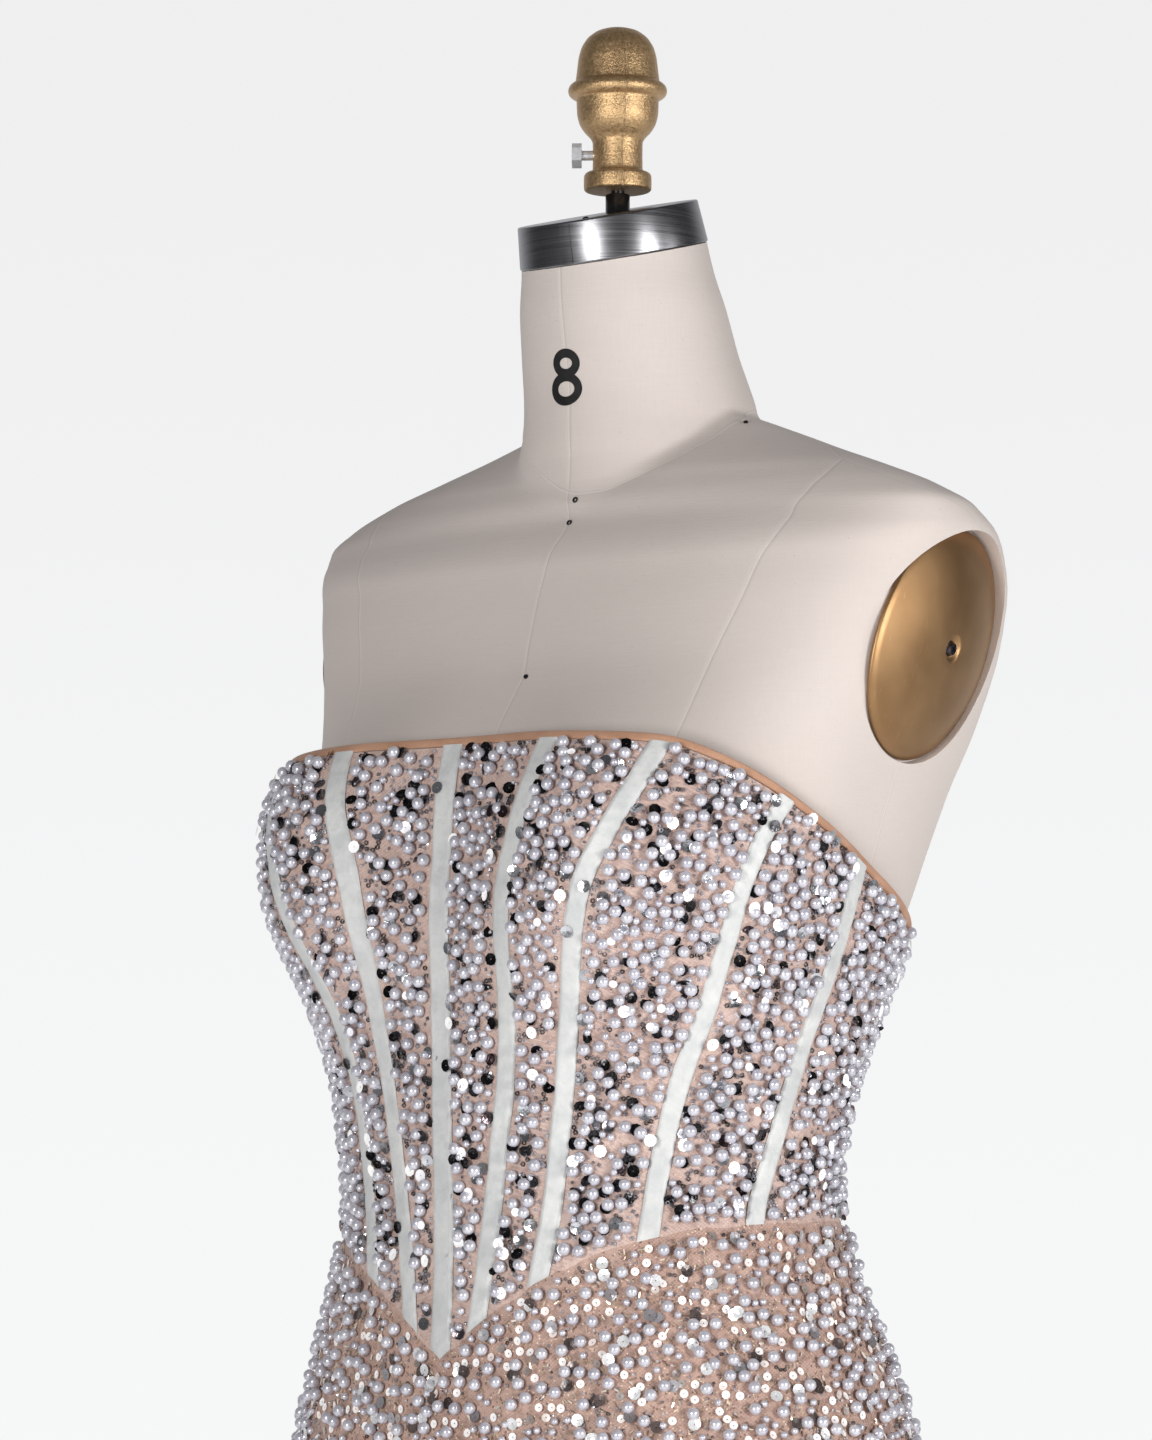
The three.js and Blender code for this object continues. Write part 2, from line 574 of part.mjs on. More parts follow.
// The slider's own frame: X across, Y up the zip, Z out from the cloth
const plate = extruded(sliderShape(), SLIDER.thickness).translate(0, 0, -BAR_LIFT - SLIDER.thickness / 2);
const [axisX, axisY, axisZ] = [0, 1, 2].map((i) => new THREE.Vector3().setComponent(i, 1));
const archUpright = new THREE.Matrix4().makeBasis(axisY, axisZ, axisX);
const bridge = extruded(bridgeShape(), BRIDGE.width).applyMatrix4(archUpright);
const upTheZip = new THREE.Vector3(0, Math.sin(lean), Math.cos(lean));
const slider = new THREE.Mesh(join(plate, bridge), PAINT.steel);
slider.name = "zip_slider";
slider.setRotationFromMatrix(
  new THREE.Matrix4().makeBasis(upTheZip.clone().cross(outOfCloth), upTheZip, outOfCloth),
);
const pull = new THREE.Mesh(extruded(pullShape(), PULL.thickness).rotateX(Math.PI / 2), PAINT.steel);
pull.name = "zip_pull";
hingeGroup.add(slider, pull);

// The form's body, bored for its pole and seated for the arm plates
const bandPlane = (y) => NECK_BAND.height + NECK_TILT * (y - NECK_BAND.y) - SEAM_GAP;
function formRing(height) {
  return Array.from({ length: FORM_COLUMNS }, (_, j) => {
    const turn = (j / FORM_COLUMNS) * 2 * Math.PI;
    let z = height ?? NECK_BAND.height;
    let point;
    for (let pass = 0; pass < 6; pass += 1) {
      const side = smooth(FORM_SECTIONS, "z", "side", z);
      const depth = Math.max(smooth(FORM_SECTIONS, "z", Math.cos(turn) > 0 ? "front" : "back", z), side / 2);
      let angle = THREE.MathUtils.radToDeg(Math.atan2(side * Math.sin(turn), depth * Math.cos(turn)));
      if (angle > 180) angle -= 360;
      point = formPoint(angle, z);
      if (height === undefined) z = bandPlane(point.y);
    }
    return point;
  });
}

// Axes of an arm plate on one side of the body: across its short way, along its long way, and out
function armAxes(side) {
  const out = new THREE.Vector3(1, 0, 0)
    .applyAxisAngle(new THREE.Vector3(0, 1, 0), radians(ARM.lean))
    .applyAxisAngle(new THREE.Vector3(0, 0, 1), -radians(ARM.turn));
  const upright = new THREE.Vector3(0, 0, 1).applyAxisAngle(new THREE.Vector3(1, 0, 0), -radians(ARM.oval));
  const long = upright.sub(out.clone().multiplyScalar(upright.dot(out))).normalize();
  out.x *= side;
  long.x *= side;
  return new THREE.Matrix4()
    .makeBasis(long.clone().cross(out), long, out)
    .setPosition(side * ARM.x, ARM.y, WAIST_HEIGHT + ARM.z);
}

function armSeat(side) {
  const tool = new THREE.CylinderGeometry(1, 1, 60, 32).rotateX(Math.PI / 2).translate(0, 0, 30);
  return tool.scale(ARM.short + ARM.margin, ARM.long + ARM.margin, 1).applyMatrix4(armAxes(side));
}

const rings = FORM_ROWS.map((z) => formRing(z));
rings.push(formRing());
const poleBore = new THREE.CylinderGeometry(
  POLE_DIAMETER / 2 + TAP_CLEARANCE,
  POLE_DIAMETER / 2 + TAP_CLEARANCE,
  2 * POLE_SOCKET,
  32,
);
poleBore.rotateX(Math.PI / 2).translate(0, 0, WAIST_HEIGHT - FORM_DROP);
add("form_body", cut(ringGeometry(rings), poleBore, armSeat(1), armSeat(-1)), PAINT.linen);

// Arm plate: a shallow dome with a rolled rim and a dimple for its screw, then drawn out to an oval
function armPlate(side) {
  const { rim, dome, dimple, dimpleDepth, arc } = ARM_PROFILE;
  const outline = [new THREE.Vector2(0, 0), new THREE.Vector2(0.96, 0), new THREE.Vector2(1, rim * 0.5)];
  for (let i = 0; i <= arc; i += 1) {
    const reach = mix(0.99, 0.14, i / arc);
    outline.push(new THREE.Vector2(reach, mix(rim, dome, 1 - reach ** 2.2)));
  }
  const floor = dome - dimpleDepth;
  outline.push(new THREE.Vector2(dimple / ARM.long, floor), new THREE.Vector2(0, floor));
  const geometry = new THREE.LatheGeometry(outline, 32).rotateX(Math.PI / 2);
  return geometry.scale(ARM.short, ARM.long, 1).translate(0, 0, SEAM_GAP).applyMatrix4(armAxes(side));
}

function armScrew(side) {
  const { radius, height } = SCREW;
  const low = ARM_PROFILE.dome - ARM_PROFILE.dimpleDepth + 2 * SEAM_GAP;
  const head = new THREE.CylinderGeometry(radius * 0.75, radius, height, 24);
  const slot = () => new THREE.BoxGeometry(radius * 1.2, height, radius * 0.25);
  const slots = [slot(), slot().rotateY(Math.PI / 2)].map((tool) => tool.translate(0, height * 0.6, 0));
  const cross = cut(head, ...slots);
  return cross.rotateX(Math.PI / 2).translate(0, 0, low + height / 2).applyMatrix4(armAxes(side));
}

for (const [name, side] of [["left", 1], ["right", -1]]) {
  add(`arm_plate_${name}`, armPlate(side), PAINT.gold);
  add(`arm_screw_${name}`, armScrew(side), PAINT.steel);
}

// Steel band on the neck, square to its tilted top, bored for the rod
const bandLean = Math.atan(NECK_TILT);
const band = new THREE.CylinderGeometry(NECK_BAND.upper, NECK_BAND.lower, NECK_BAND.rise, 48)
  .translate(0, NECK_BAND.rise / 2, 0)
  .rotateX(Math.PI / 2 + bandLean)
  .translate(0, NECK_BAND.y, WAIST_HEIGHT + NECK_BAND.height);
const rodBore = new THREE.CylinderGeometry(
  ROD_SLEEVE_DIAMETER / 2 + TAP_CLEARANCE,
  ROD_SLEEVE_DIAMETER / 2 + TAP_CLEARANCE,
  40,
  32,
);
const rodLow = NECK_BAND.height + 10;
rodBore.rotateX(Math.PI / 2).translate(0, 0, WAIST_HEIGHT + rodLow + 20);
add("neck_band", cut(band, rodBore), PAINT.steel);

// Lathe of [radius, height] pairs, turned so that its axis is upright
function turned(profile, height, segments = 32) {
  const points = profile.map(([radius, z]) => new THREE.Vector2(radius, z));
  return new THREE.LatheGeometry(points, segments).rotateX(Math.PI / 2).translate(0, 0, height);
}

const rodRadius = ROD_DIAMETER / 2;
const sleeveRadius = ROD_SLEEVE_DIAMETER / 2;
const ROD_INTO_KNOB = 30;
const rodProfile = [
  [0, rodLow + SEAM_GAP],
  [sleeveRadius, rodLow + SEAM_GAP],
  [sleeveRadius, ROD_SLEEVE_TOP],
  [rodRadius, ROD_SLEEVE_TOP],
  [rodRadius, KNOB_HEIGHT + ROD_INTO_KNOB],
  [0, KNOB_HEIGHT + ROD_INTO_KNOB],
];
add("top_rod", turned(rodProfile, WAIST_HEIGHT), PAINT.dark);

// Cast knob: foot, stem, bowl, rolled ring and dome, bored for the rod and tapped for its screw
const KNOB_PROFILE = [
  [0, 0],
  [15.4, 0],
  [16.2, 0.8],
  [16.2, 7.6],
  [15.2, 8.8],
  [12.4, 9.2],
  [12, 10.5],
  [12, 24],
  [13.4, 26.2],
  [16.2, 29],
  [18.4, 32.6],
  [19.5, 37],
  [19.8, 44.6],
  [21.8, 45.4],
  [23.4, 46.8],
  [23.9, 48.8],
  [23.2, 51],
  [21.6, 52.3],
  [20.3, 52.9],
  [19.6, 58],
  [18.8, 65],
  [17.4, 70],
  [14.6, 74.4],
  [10.4, 77.6],
  [5.4, 79.2],
  [0, 79.6],
];
const THUMB_SCREW = { height: 17.5, angle: -142, shank: 2.4, depth: 8, reach: 17.8 };
const THUMB_SCREW_HEAD = { radius: 6.1, thickness: 4.6, overlap: 0.5 };
const knobBore = new THREE.CylinderGeometry(
  rodRadius + TAP_CLEARANCE,
  rodRadius + TAP_CLEARANCE,
  2 * (ROD_INTO_KNOB + 1),
  24,
).rotateX(Math.PI / 2);
const screwTurn = new THREE.Matrix4().makeRotationZ(radians(THUMB_SCREW.angle));
const alongScrew = (geometry, from, length) =>
  geometry.rotateZ(Math.PI / 2).translate(from + length / 2, 0, THUMB_SCREW.height).applyMatrix4(screwTurn);
const tapRadius = THUMB_SCREW.shank + TAP_CLEARANCE;
const tapTool = new THREE.CylinderGeometry(tapRadius, tapRadius, 20, 20);
const tap = alongScrew(tapTool, THUMB_SCREW.depth - SEAM_GAP, 20);
const knob = cut(turned(KNOB_PROFILE, 0, 24), knobBore, tap);
add("cast_knob", knob.translate(0, 0, WAIST_HEIGHT + KNOB_HEIGHT), PAINT.gold);

const head = THUMB_SCREW_HEAD;
const shankLength = THUMB_SCREW.reach - THUMB_SCREW.depth;
const shank = new THREE.CylinderGeometry(THUMB_SCREW.shank, THUMB_SCREW.shank, shankLength, 20);
const hexagon = new THREE.CylinderGeometry(head.radius, head.radius, head.thickness, 6);
const thumbScrew = join(
  alongScrew(shank, THUMB_SCREW.depth, shankLength),
  alongScrew(hexagon, THUMB_SCREW.reach - head.overlap, head.thickness),
);
add("thumb_screw", thumbScrew.translate(0, 0, WAIST_HEIGHT + KNOB_HEIGHT), PAINT.chrome);

// Stand: a pole in a round cast base with a raised socket
const BASE = { rim: 8, crown: 26, collar: 23, socketTop: 58, socketFloor: 10 };
const poleRadius = POLE_DIAMETER / 2;
const poleProfile = [
  [0, BASE.socketFloor + SEAM_GAP],
  [poleRadius, BASE.socketFloor + SEAM_GAP],
  [poleRadius, WAIST_HEIGHT - FORM_DROP + POLE_SOCKET - SEAM_GAP],
  [0, WAIST_HEIGHT - FORM_DROP + POLE_SOCKET - SEAM_GAP],
];
add("stand_pole", turned(poleProfile, 0), PAINT.dark);
const baseRadius = BASE_DIAMETER / 2;
const baseProfile = [
  [0, 0],
  [baseRadius - 2, 0],
  [baseRadius, 2],
  [baseRadius, BASE.rim - 2],
  [baseRadius - 3, BASE.rim],
  [baseRadius * 0.72, BASE.rim + 5],
  [baseRadius * 0.42, BASE.rim + 11],
  [BASE.collar + 12, BASE.crown - 3],
  [BASE.collar + 3, BASE.crown + 2],
  [BASE.collar, BASE.crown + 8],
  [BASE.collar, BASE.socketTop - 2],
  [BASE.collar - 2, BASE.socketTop],
  [poleRadius + TAP_CLEARANCE, BASE.socketTop],
  [poleRadius + TAP_CLEARANCE, BASE.socketFloor],
  [0, BASE.socketFloor],
];
add("stand_base", turned(baseProfile, 0, 40), PAINT.dark);

export default dress;
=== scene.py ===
"""Looks of a strapless mini dress on its dress form: boned and beaded bodice, beaded skirt, linen form.

Shapes are worked out in millimetres, heights from the waist, and made in metres. The form faces -Y and
its left side is +X. An angle on the body runs from the centre front towards the left side, in degrees.
"""

import math

import bmesh
import bpy
import numpy as np
from mathutils import Matrix, Vector


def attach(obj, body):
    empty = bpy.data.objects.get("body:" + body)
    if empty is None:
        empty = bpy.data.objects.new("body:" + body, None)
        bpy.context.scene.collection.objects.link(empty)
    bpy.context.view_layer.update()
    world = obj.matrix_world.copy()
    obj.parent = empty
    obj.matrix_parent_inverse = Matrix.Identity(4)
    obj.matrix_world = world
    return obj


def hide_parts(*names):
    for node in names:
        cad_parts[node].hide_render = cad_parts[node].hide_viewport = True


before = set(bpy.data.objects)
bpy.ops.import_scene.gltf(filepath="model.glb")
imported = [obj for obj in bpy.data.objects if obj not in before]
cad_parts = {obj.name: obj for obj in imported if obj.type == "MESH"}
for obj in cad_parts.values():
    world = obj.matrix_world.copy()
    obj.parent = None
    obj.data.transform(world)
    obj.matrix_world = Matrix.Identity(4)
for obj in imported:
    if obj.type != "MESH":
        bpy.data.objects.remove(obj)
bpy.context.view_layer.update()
MM = 0.001
WAIST = 1040

# ---------------------------------------------------------------- body and cloth shapes

# Outer face of the cloth: height, centre y, half width, depth in front, depth behind, squareness of the
# front and of the back
CLOTH_SECTIONS = np.array(
    [
        (-440, -6, 170, 121, 126, 2.2, 2.2),
        (-330, -7, 174, 122, 129, 2.2, 2.2),
        (-200, -8, 172, 121, 129, 2.2, 2.2),
        (-113, -8, 154, 121, 111, 2.15, 2.15),
        (-73, -9, 142, 118, 100, 2.1, 2.1),
        (-40, -11, 131, 114, 89, 2.05, 2.1),
        (0, -13, 123, 112, 83, 2.0, 2.1),
        (35, -14, 126, 112, 86, 2.0, 2.2),
        (62, -14, 130, 112, 93, 2.05, 2.4),
        (90, -13, 137, 112, 100, 2.1, 2.6),
        (122, -11, 145, 113, 110, 2.2, 2.8),
        (152, -8, 151, 113, 115, 2.3, 3.0),
        (185, -4, 156, 115, 122, 2.4, 3.1),
        (217, 0, 160, 114, 124, 2.5, 3.2),
    ]
)
CHEST_SECTIONS = np.array(
    [
        (152, -8, 147, 106, 111, 2.3, 3.0),
        (185, -3, 152.5, 98, 120, 2.5, 3.1),
        (217, 4, 160.5, 90, 124, 2.7, 3.3),
        (247, 10, 170, 81, 121, 2.8, 3.4),
        (272, 15, 178, 78, 111, 2.8, 3.4),
        (292, 18, 184, 75, 101, 2.7, 3.1),
        (306, 18, 188, 68, 91, 2.5, 2.7),
        (316, 14, 186.5, 57, 82, 2.3, 2.4),
        (326, 10, 173, 49, 77, 2.0, 2.1),
        (336, 8, 149, 40, 74, 1.9, 2.0),
        (346, 12, 120, 35, 67, 1.9, 2.0),
        (356, 17, 92, 29, 61, 1.9, 2.0),
        (366, 19, 64, 21, 55, 2.0, 2.0),
        (378, 16, 30, 14, 50, 2.0, 2.0),
        (400, 9, 20, 10, 40, 2.0, 2.0),
        (475, -8, 20, 10, 30, 2.0, 2.0),
    ]
)
# The neck stands on the same centre line: height, half width, depth in front, depth behind
NECK_SECTIONS = np.array(
    [
        (316, 61, 52, 66),
        (326, 61, 49, 70),
        (336, 60.5, 46, 70),
        (346, 59.5, 50, 68),
        (356, 58.5, 56, 63),
        (366, 57, 58, 58),
        (378, 55.5, 55, 55.5),
        (400, 52.5, 51, 51.5),
        (420, 50.2, 48.5, 49),
        (440, 46.4, 45, 45.6),
        (475, 43.5, 42, 42.2),
    ]
)
NECK_BLEND = 5
CLOTH_TO_FORM = 4.2  # the cloth's wall and the air behind it
FORM_FOLLOWS_TO = 122
FORM_INSET = np.array([0, 0, CLOTH_TO_FORM, CLOTH_TO_FORM, CLOTH_TO_FORM, 0, 0])
FORM_SECTIONS = np.vstack(
    [CLOTH_SECTIONS[CLOTH_SECTIONS[:, 0] <= FORM_FOLLOWS_TO] - FORM_INSET, CHEST_SECTIONS]
)
BUST = {"swell": 32, "angle": 36, "spread": 23, "z": 148, "under": 60}
CLOTH_BUST = {**BUST, "over": 64, "power": 2.8}
FORM_BUST = {**BUST, "over": 52, "power": 2.2}

CLOTH_WALL = 2.0
SKIRT_WALL = 1.6
SEAM_GAP = 0.3
HEM_DROP = 440
BINDING_HEIGHT = 4.5
FORM_DROP = 340
ZIP_TAPE_HALF = 5.0
ZIP_CLEAR = 6.6  # no bead is sewn nearer the middle of the zip than this
ZIP_TOP = 100
ZIP_END = -190.7  # foot of the zip's opening, and where it has its full width
ZIP_FULL = -155.0

SEAM_HEIGHTS = [-77, -40, -10, 20, 50, 80, 110, 135, 160, 185, 210]
SEAM_ANGLES = {
    "cup": [8.6, 11.4, 13.8, 15.9, 18, 19.1, 19, 19.6, 21.8, 24.5, 27.5],
    "apex": [22, 25.2, 28.4, 30.6, 32.3, 33.5, 34.3, 35.6, 39.3, 44, 49],
    "flank": [46, 48, 50.8, 53.8, 57, 60.9, 62.7, 64, 66.8, 71.5, 74],
    "side": [69, 71, 74.6, 79.4, 83.2, 86.4, 88.7, 89.5, 90.2, 91, 92],
    "blade": [108, 109, 110.5, 112, 113.5, 115.5, 117.5, 118.5, 119.5, 120, 120],
    "back": [144, 144, 145, 146, 147, 148, 149, 150, 151, 152, 152],
}
SEAMS = ["centre", *SEAM_ANGLES, "zip"]
PANELS = ["centre_front", "cup_front", "cup_side", "side_front", "side_back", "shoulder_blade", "centre_back"]
# Angle and height of the bodice's top edge, and of the waist seam
TOP_EDGE = [
    (0, 208), (20, 208), (40, 206), (48, 204), (58, 195), (78, 169), (98, 143), (120, 121),
    (150, 105), (180, 100),
]
WAIST_SEAM = [
    (0, -76), (9, -62), (17, -51), (25, -41), (38, -29), (50, -21.5), (65, -16), (90, -14), (180, -12),
]
SIDES = {"left": 1, "right": -1}


def curve(stations, values, at):
    """A smooth curve through a table that never overshoots its rows."""
    x = np.asarray(stations, float)
    y = np.asarray(values, float)
    at = np.clip(at, x[0], x[-1])
    slope = np.diff(y) / np.diff(x)
    before, after = slope[:-1], slope[1:]
    steady = before * after > 0
    between = np.where(steady, 2 * before * after / np.where(steady, before + after, 1), 0)
    tangent = np.concatenate([slope[:1], between, slope[-1:]])
    row = np.clip(np.searchsorted(x, at) - 1, 0, len(x) - 2)
    step = x[row + 1] - x[row]
    t = (at - x[row]) / step
    rise = t * t * (3 - 2 * t)
    bend = t * (1 - t) ** 2 * tangent[row] + t * t * (t - 1) * tangent[row + 1]
    return y[row] + (y[row + 1] - y[row]) * rise + bend * step


def column_at(sections, index, z):
    return curve(sections[:, 0], sections[:, index], z)


def section_radius(sections, bust, angle, z):
    """Distance of the surface from its section's centre."""
    turn = np.radians(angle)
    facing = np.cos(turn) > 0
    half, front, behind, front_square, back_square = (column_at(sections, index, z) for index in range(2, 7))
    depth = np.where(facing, front, behind)
    square = np.where(facing, front_square, back_square)
    spread = (np.abs(np.sin(turn)) / half) ** square + (np.abs(np.cos(turn)) / depth) ** square
    away = np.abs(z - bust["z"])
    fullness = np.where(z > bust["z"], (away / bust["over"]) ** bust["power"], (away / bust["under"]) ** 2)
    breasts = sum(np.exp(-(((angle - side * bust["angle"]) / bust["spread"]) ** 2)) for side in (1, -1))
    return spread ** (-1 / square) + bust["swell"] * np.exp(-fullness) * breasts


def neck_radius(angle, z):
    turn = np.radians(angle)
    half, front, behind = (column_at(NECK_SECTIONS, index, z) for index in (1, 2, 3))
    depth = np.where(np.cos(turn) > 0, front, behind)
    return ((np.sin(turn) / half) ** 2 + (np.cos(turn) / depth) ** 2) ** -0.5


def at_radius(sections, radius, angle, z):
    turn = np.radians(angle)
    centre = column_at(sections, 1, z)
    return np.stack([radius * np.sin(turn), centre - radius * np.cos(turn), WAIST + z], axis=-1)


def cloth_point(angle, z, offset=0.0):
    angle, z, offset = np.broadcast_arrays(np.asarray(angle, float), z, offset)
    return at_radius(CLOTH_SECTIONS, section_radius(CLOTH_SECTIONS, CLOTH_BUST, angle, z) + offset, angle, z)


def form_point(angle, z, offset=0.0):
    """The outer of torso and neck, eased together where they meet."""
    angle, z, offset = np.broadcast_arrays(np.asarray(angle, float), z, offset)
    torso = section_radius(FORM_SECTIONS, FORM_BUST, angle, z)
    neck = neck_radius(angle, z)
    share = np.clip(0.5 + (torso - neck) / (2 * NECK_BLEND), 0, 1)
    radius = neck + (torso - neck) * share + NECK_BLEND * share * (1 - share)
    return at_radius(FORM_SECTIONS, radius + offset, angle, z)


def outward(point_at, angle, z):
    """Normals of a surface at angles and heights, each as long as the patch round it is large."""
    across = point_at(angle + 0.5, z) - point_at(angle - 0.5, z)
    upward = point_at(angle, z + 0.5) - point_at(angle, z - 0.5)
    return np.cross(across, upward)


def facing_out(point_at, angle, z):
    normal = outward(point_at, angle, z)
    return normal / np.linalg.norm(normal, axis=-1, keepdims=True)


def top_edge(angle):
    return curve(*zip(*TOP_EDGE), np.abs(angle))


def waist_seam(angle):
    return curve(*zip(*WAIST_SEAM), np.abs(angle))


def degrees_for(length, angle, z):
    return np.degrees(length / section_radius(CLOTH_SECTIONS, CLOTH_BUST, angle, z))


def zip_half(z):
    return ZIP_TAPE_HALF * np.clip((z - ZIP_END) / (ZIP_FULL - ZIP_END), 0, 1)


def seam_angle(seam, z):
    if seam == "centre":
        return np.zeros_like(z)
    if seam == "zip":
        return 180 - degrees_for(zip_half(z) + SEAM_GAP / 2, 180.0, z)
    return curve(SEAM_HEIGHTS, SEAM_ANGLES[seam], z)


def panel_place(index, along, up):
    """Angle and height on a panel, from its front seam to its back one and from the waist to the binding."""
    z = np.zeros_like(along)
    angle = np.zeros_like(along)
    for _ in range(12):
        gap = degrees_for(SEAM_GAP / 2, angle, z)
        front = seam_angle(SEAMS[index], z) + gap
        back = seam_angle(SEAMS[index + 1], z) - gap
        angle = front + (back - front) * along
        low = waist_seam(angle)
        z = low + (top_edge(angle) - BINDING_HEIGHT - low) * up
    return angle, z


# ---------------------------------------------------------------- mesh helpers


def link_object(name, data):
    thing = bpy.data.objects.new(name, data)
    bpy.context.scene.collection.objects.link(thing)
    return thing


def mesh_of(name, shape):
    mesh = bpy.data.meshes.new(name)
    shape.to_mesh(mesh)
    shape.free()
    return mesh


def write_values(mesh, name, values):
    """Writes one number for each vertex, for a finish to read."""
    layer = mesh.attributes.new(name, "FLOAT", "POINT")
    layer.data.foreach_set("value", values.astype(np.float32))


def finished(name, mesh, finish, node=None, sharp_over=40):
    """Makes a mesh in metres a piece that rides on the root, in place of a CAD node if one is given."""
    mesh.shade_smooth()
    mesh.set_sharp_from_angle(angle=math.radians(sharp_over))
    mesh.materials.append(finish)
    piece = link_object(name, mesh)
    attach(piece, "root")
    if node:
        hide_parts(node)
    return piece


def make_piece(name, shape, finish, node=None, sharp_over=40):
    """Turns a bmesh in millimetres into a finished piece."""
    sized(shape, (MM, MM, MM))
    return finished(name, mesh_of(name, shape), finish, node, sharp_over)


def moved(shape, way):
    bmesh.ops.translate(shape, verts=shape.verts, vec=way)


def sized(shape, scale):
    bmesh.ops.scale(shape, verts=shape.verts, vec=scale)


def placed(shape, matrix):
    bmesh.ops.transform(shape, matrix=matrix, verts=shape.verts)


def faced_out(shape):
    bmesh.ops.recalc_face_normals(shape, faces=shape.faces)


def closed(shape):
    """Joins a laid grid's meeting edges and fills its open ends."""
    bmesh.ops.remove_doubles(shape, verts=shape.verts, dist=0.02)
    rims = [edge for edge in shape.edges if edge.is_boundary]
    bmesh.ops.holes_fill(shape, edges=rims, sides=0)


def laid_grid(across, up, place):
    """A grid laid on a surface: place(u, v) gives its points. Its UV map is in metres along the cloth."""
    shape = bmesh.new()
    bmesh.ops.create_grid(shape, x_segments=across, y_segments=up, size=0.5)
    shape.verts.ensure_lookup_table()
    flat = np.array([v.co[:2] for v in shape.verts]) + 0.5
    points = place(flat[:, 0], flat[:, 1])
    order = np.lexsort((np.round(flat[:, 0], 5), np.round(flat[:, 1], 5)))
    columns = len(np.unique(np.round(flat[:, 0], 5)))
    net = points[order].reshape(-1, columns, 3)
    run = np.zeros(net.shape[:2])
    run[:, 1:] = np.cumsum(np.linalg.norm(np.diff(net, axis=1), axis=2), axis=1)
    run -= run[:, columns // 2][:, None]
    rise = np.zeros(net.shape[:2])
    rise[1:] = np.cumsum(np.linalg.norm(np.diff(net, axis=0), axis=2), axis=0)
    along = np.empty((len(points), 2))
    along[order] = np.stack([run.ravel(), rise.ravel()], axis=1) * MM
    layer = shape.loops.layers.uv.new("cloth")
    for vertex, point in zip(shape.verts, points):
        vertex.co = point
    for face in shape.faces:
        for loop in face.loops:
            loop[layer].uv = along[loop.vert.index]
    return shape


def spun(profile, steps, merge=0.01):
    """Spins a line of [radius, height] pairs a full turn on the Z axis."""
    shape = bmesh.new()
    line = [shape.verts.new((radius, 0, height)) for radius, height in profile]
    edges = [shape.edges.new(pair) for pair in zip(line, line[1:])]
    bmesh.ops.spin(
        shape, geom=line + edges, cent=(0, 0, 0), axis=(0, 0, 1), dvec=(0, 0, 0), angle=2 * math.pi,
        steps=steps, use_merge=True, use_duplicate=False,
    )
    bmesh.ops.remove_doubles(shape, verts=shape.verts, dist=merge)
    return shape


def lathe(profile, steps=72):
    """A closed round body from its profile, lowest point first."""
    shape = spun(profile, steps)
    faced_out(shape)
    return shape


def rounded(profile, radius, steps=3):
    """The same profile with its inner corners eased by short arcs."""
    eased = [profile[0]]
    for before, corner, after in zip(profile, profile[1:], profile[2:]):
        corner_point = Vector(corner)
        into = Vector(before) - corner_point
        out = Vector(after) - corner_point
        reach = min(radius, into.length * 0.45, out.length * 0.45)
        start = corner_point + into.normalized() * reach
        end = corner_point + out.normalized() * reach
        for step in range(steps + 1):
            t = step / steps
            eased.append(tuple(start * (1 - t) ** 2 + corner_point * 2 * t * (1 - t) + end * t * t))
    return eased + [profile[-1]]


# ---------------------------------------------------------------- finishes


class Value:
    """A number that changes over a surface: Python's operators on it add the Math nodes."""

    def __init__(self, finish, socket):
        self.finish = finish
        self.socket = socket

    def math(self, operation, *operands):
        inputs = dict(enumerate(operands))
        return self.finish.value("ShaderNodeMath", {"operation": operation}, inputs)

    def __add__(self, other):
        return self.math("ADD", self, other)

    __radd__ = __add__

    def __mul__(self, other):
        return self.math("MULTIPLY", self, other)

    __rmul__ = __mul__

    def __sub__(self, other):
        return self.math("SUBTRACT", self, other)

    def __rsub__(self, other):
        return self.math("SUBTRACT", other, self)

    def __pow__(self, other):
        return self.math("POWER", self, other)

    def __abs__(self):
        return self.math("ABSOLUTE", self)

    def sine(self):
        return self.math("SINE", self)

    def least(self, other):
        return self.math("MINIMUM", self, other)

    def most(self, other):
        return self.math("MAXIMUM", self, other)

    def ease(self, start, end, low=0.0, high=1.0):
        """Runs smoothly from low at start to high at end."""
        settings = {"interpolation_type": "SMOOTHSTEP"}
        inputs = {"Value": self, "From Min": start, "From Max": end, "To Min": low, "To Max": high}
        return self.finish.value("ShaderNodeMapRange", settings, inputs)


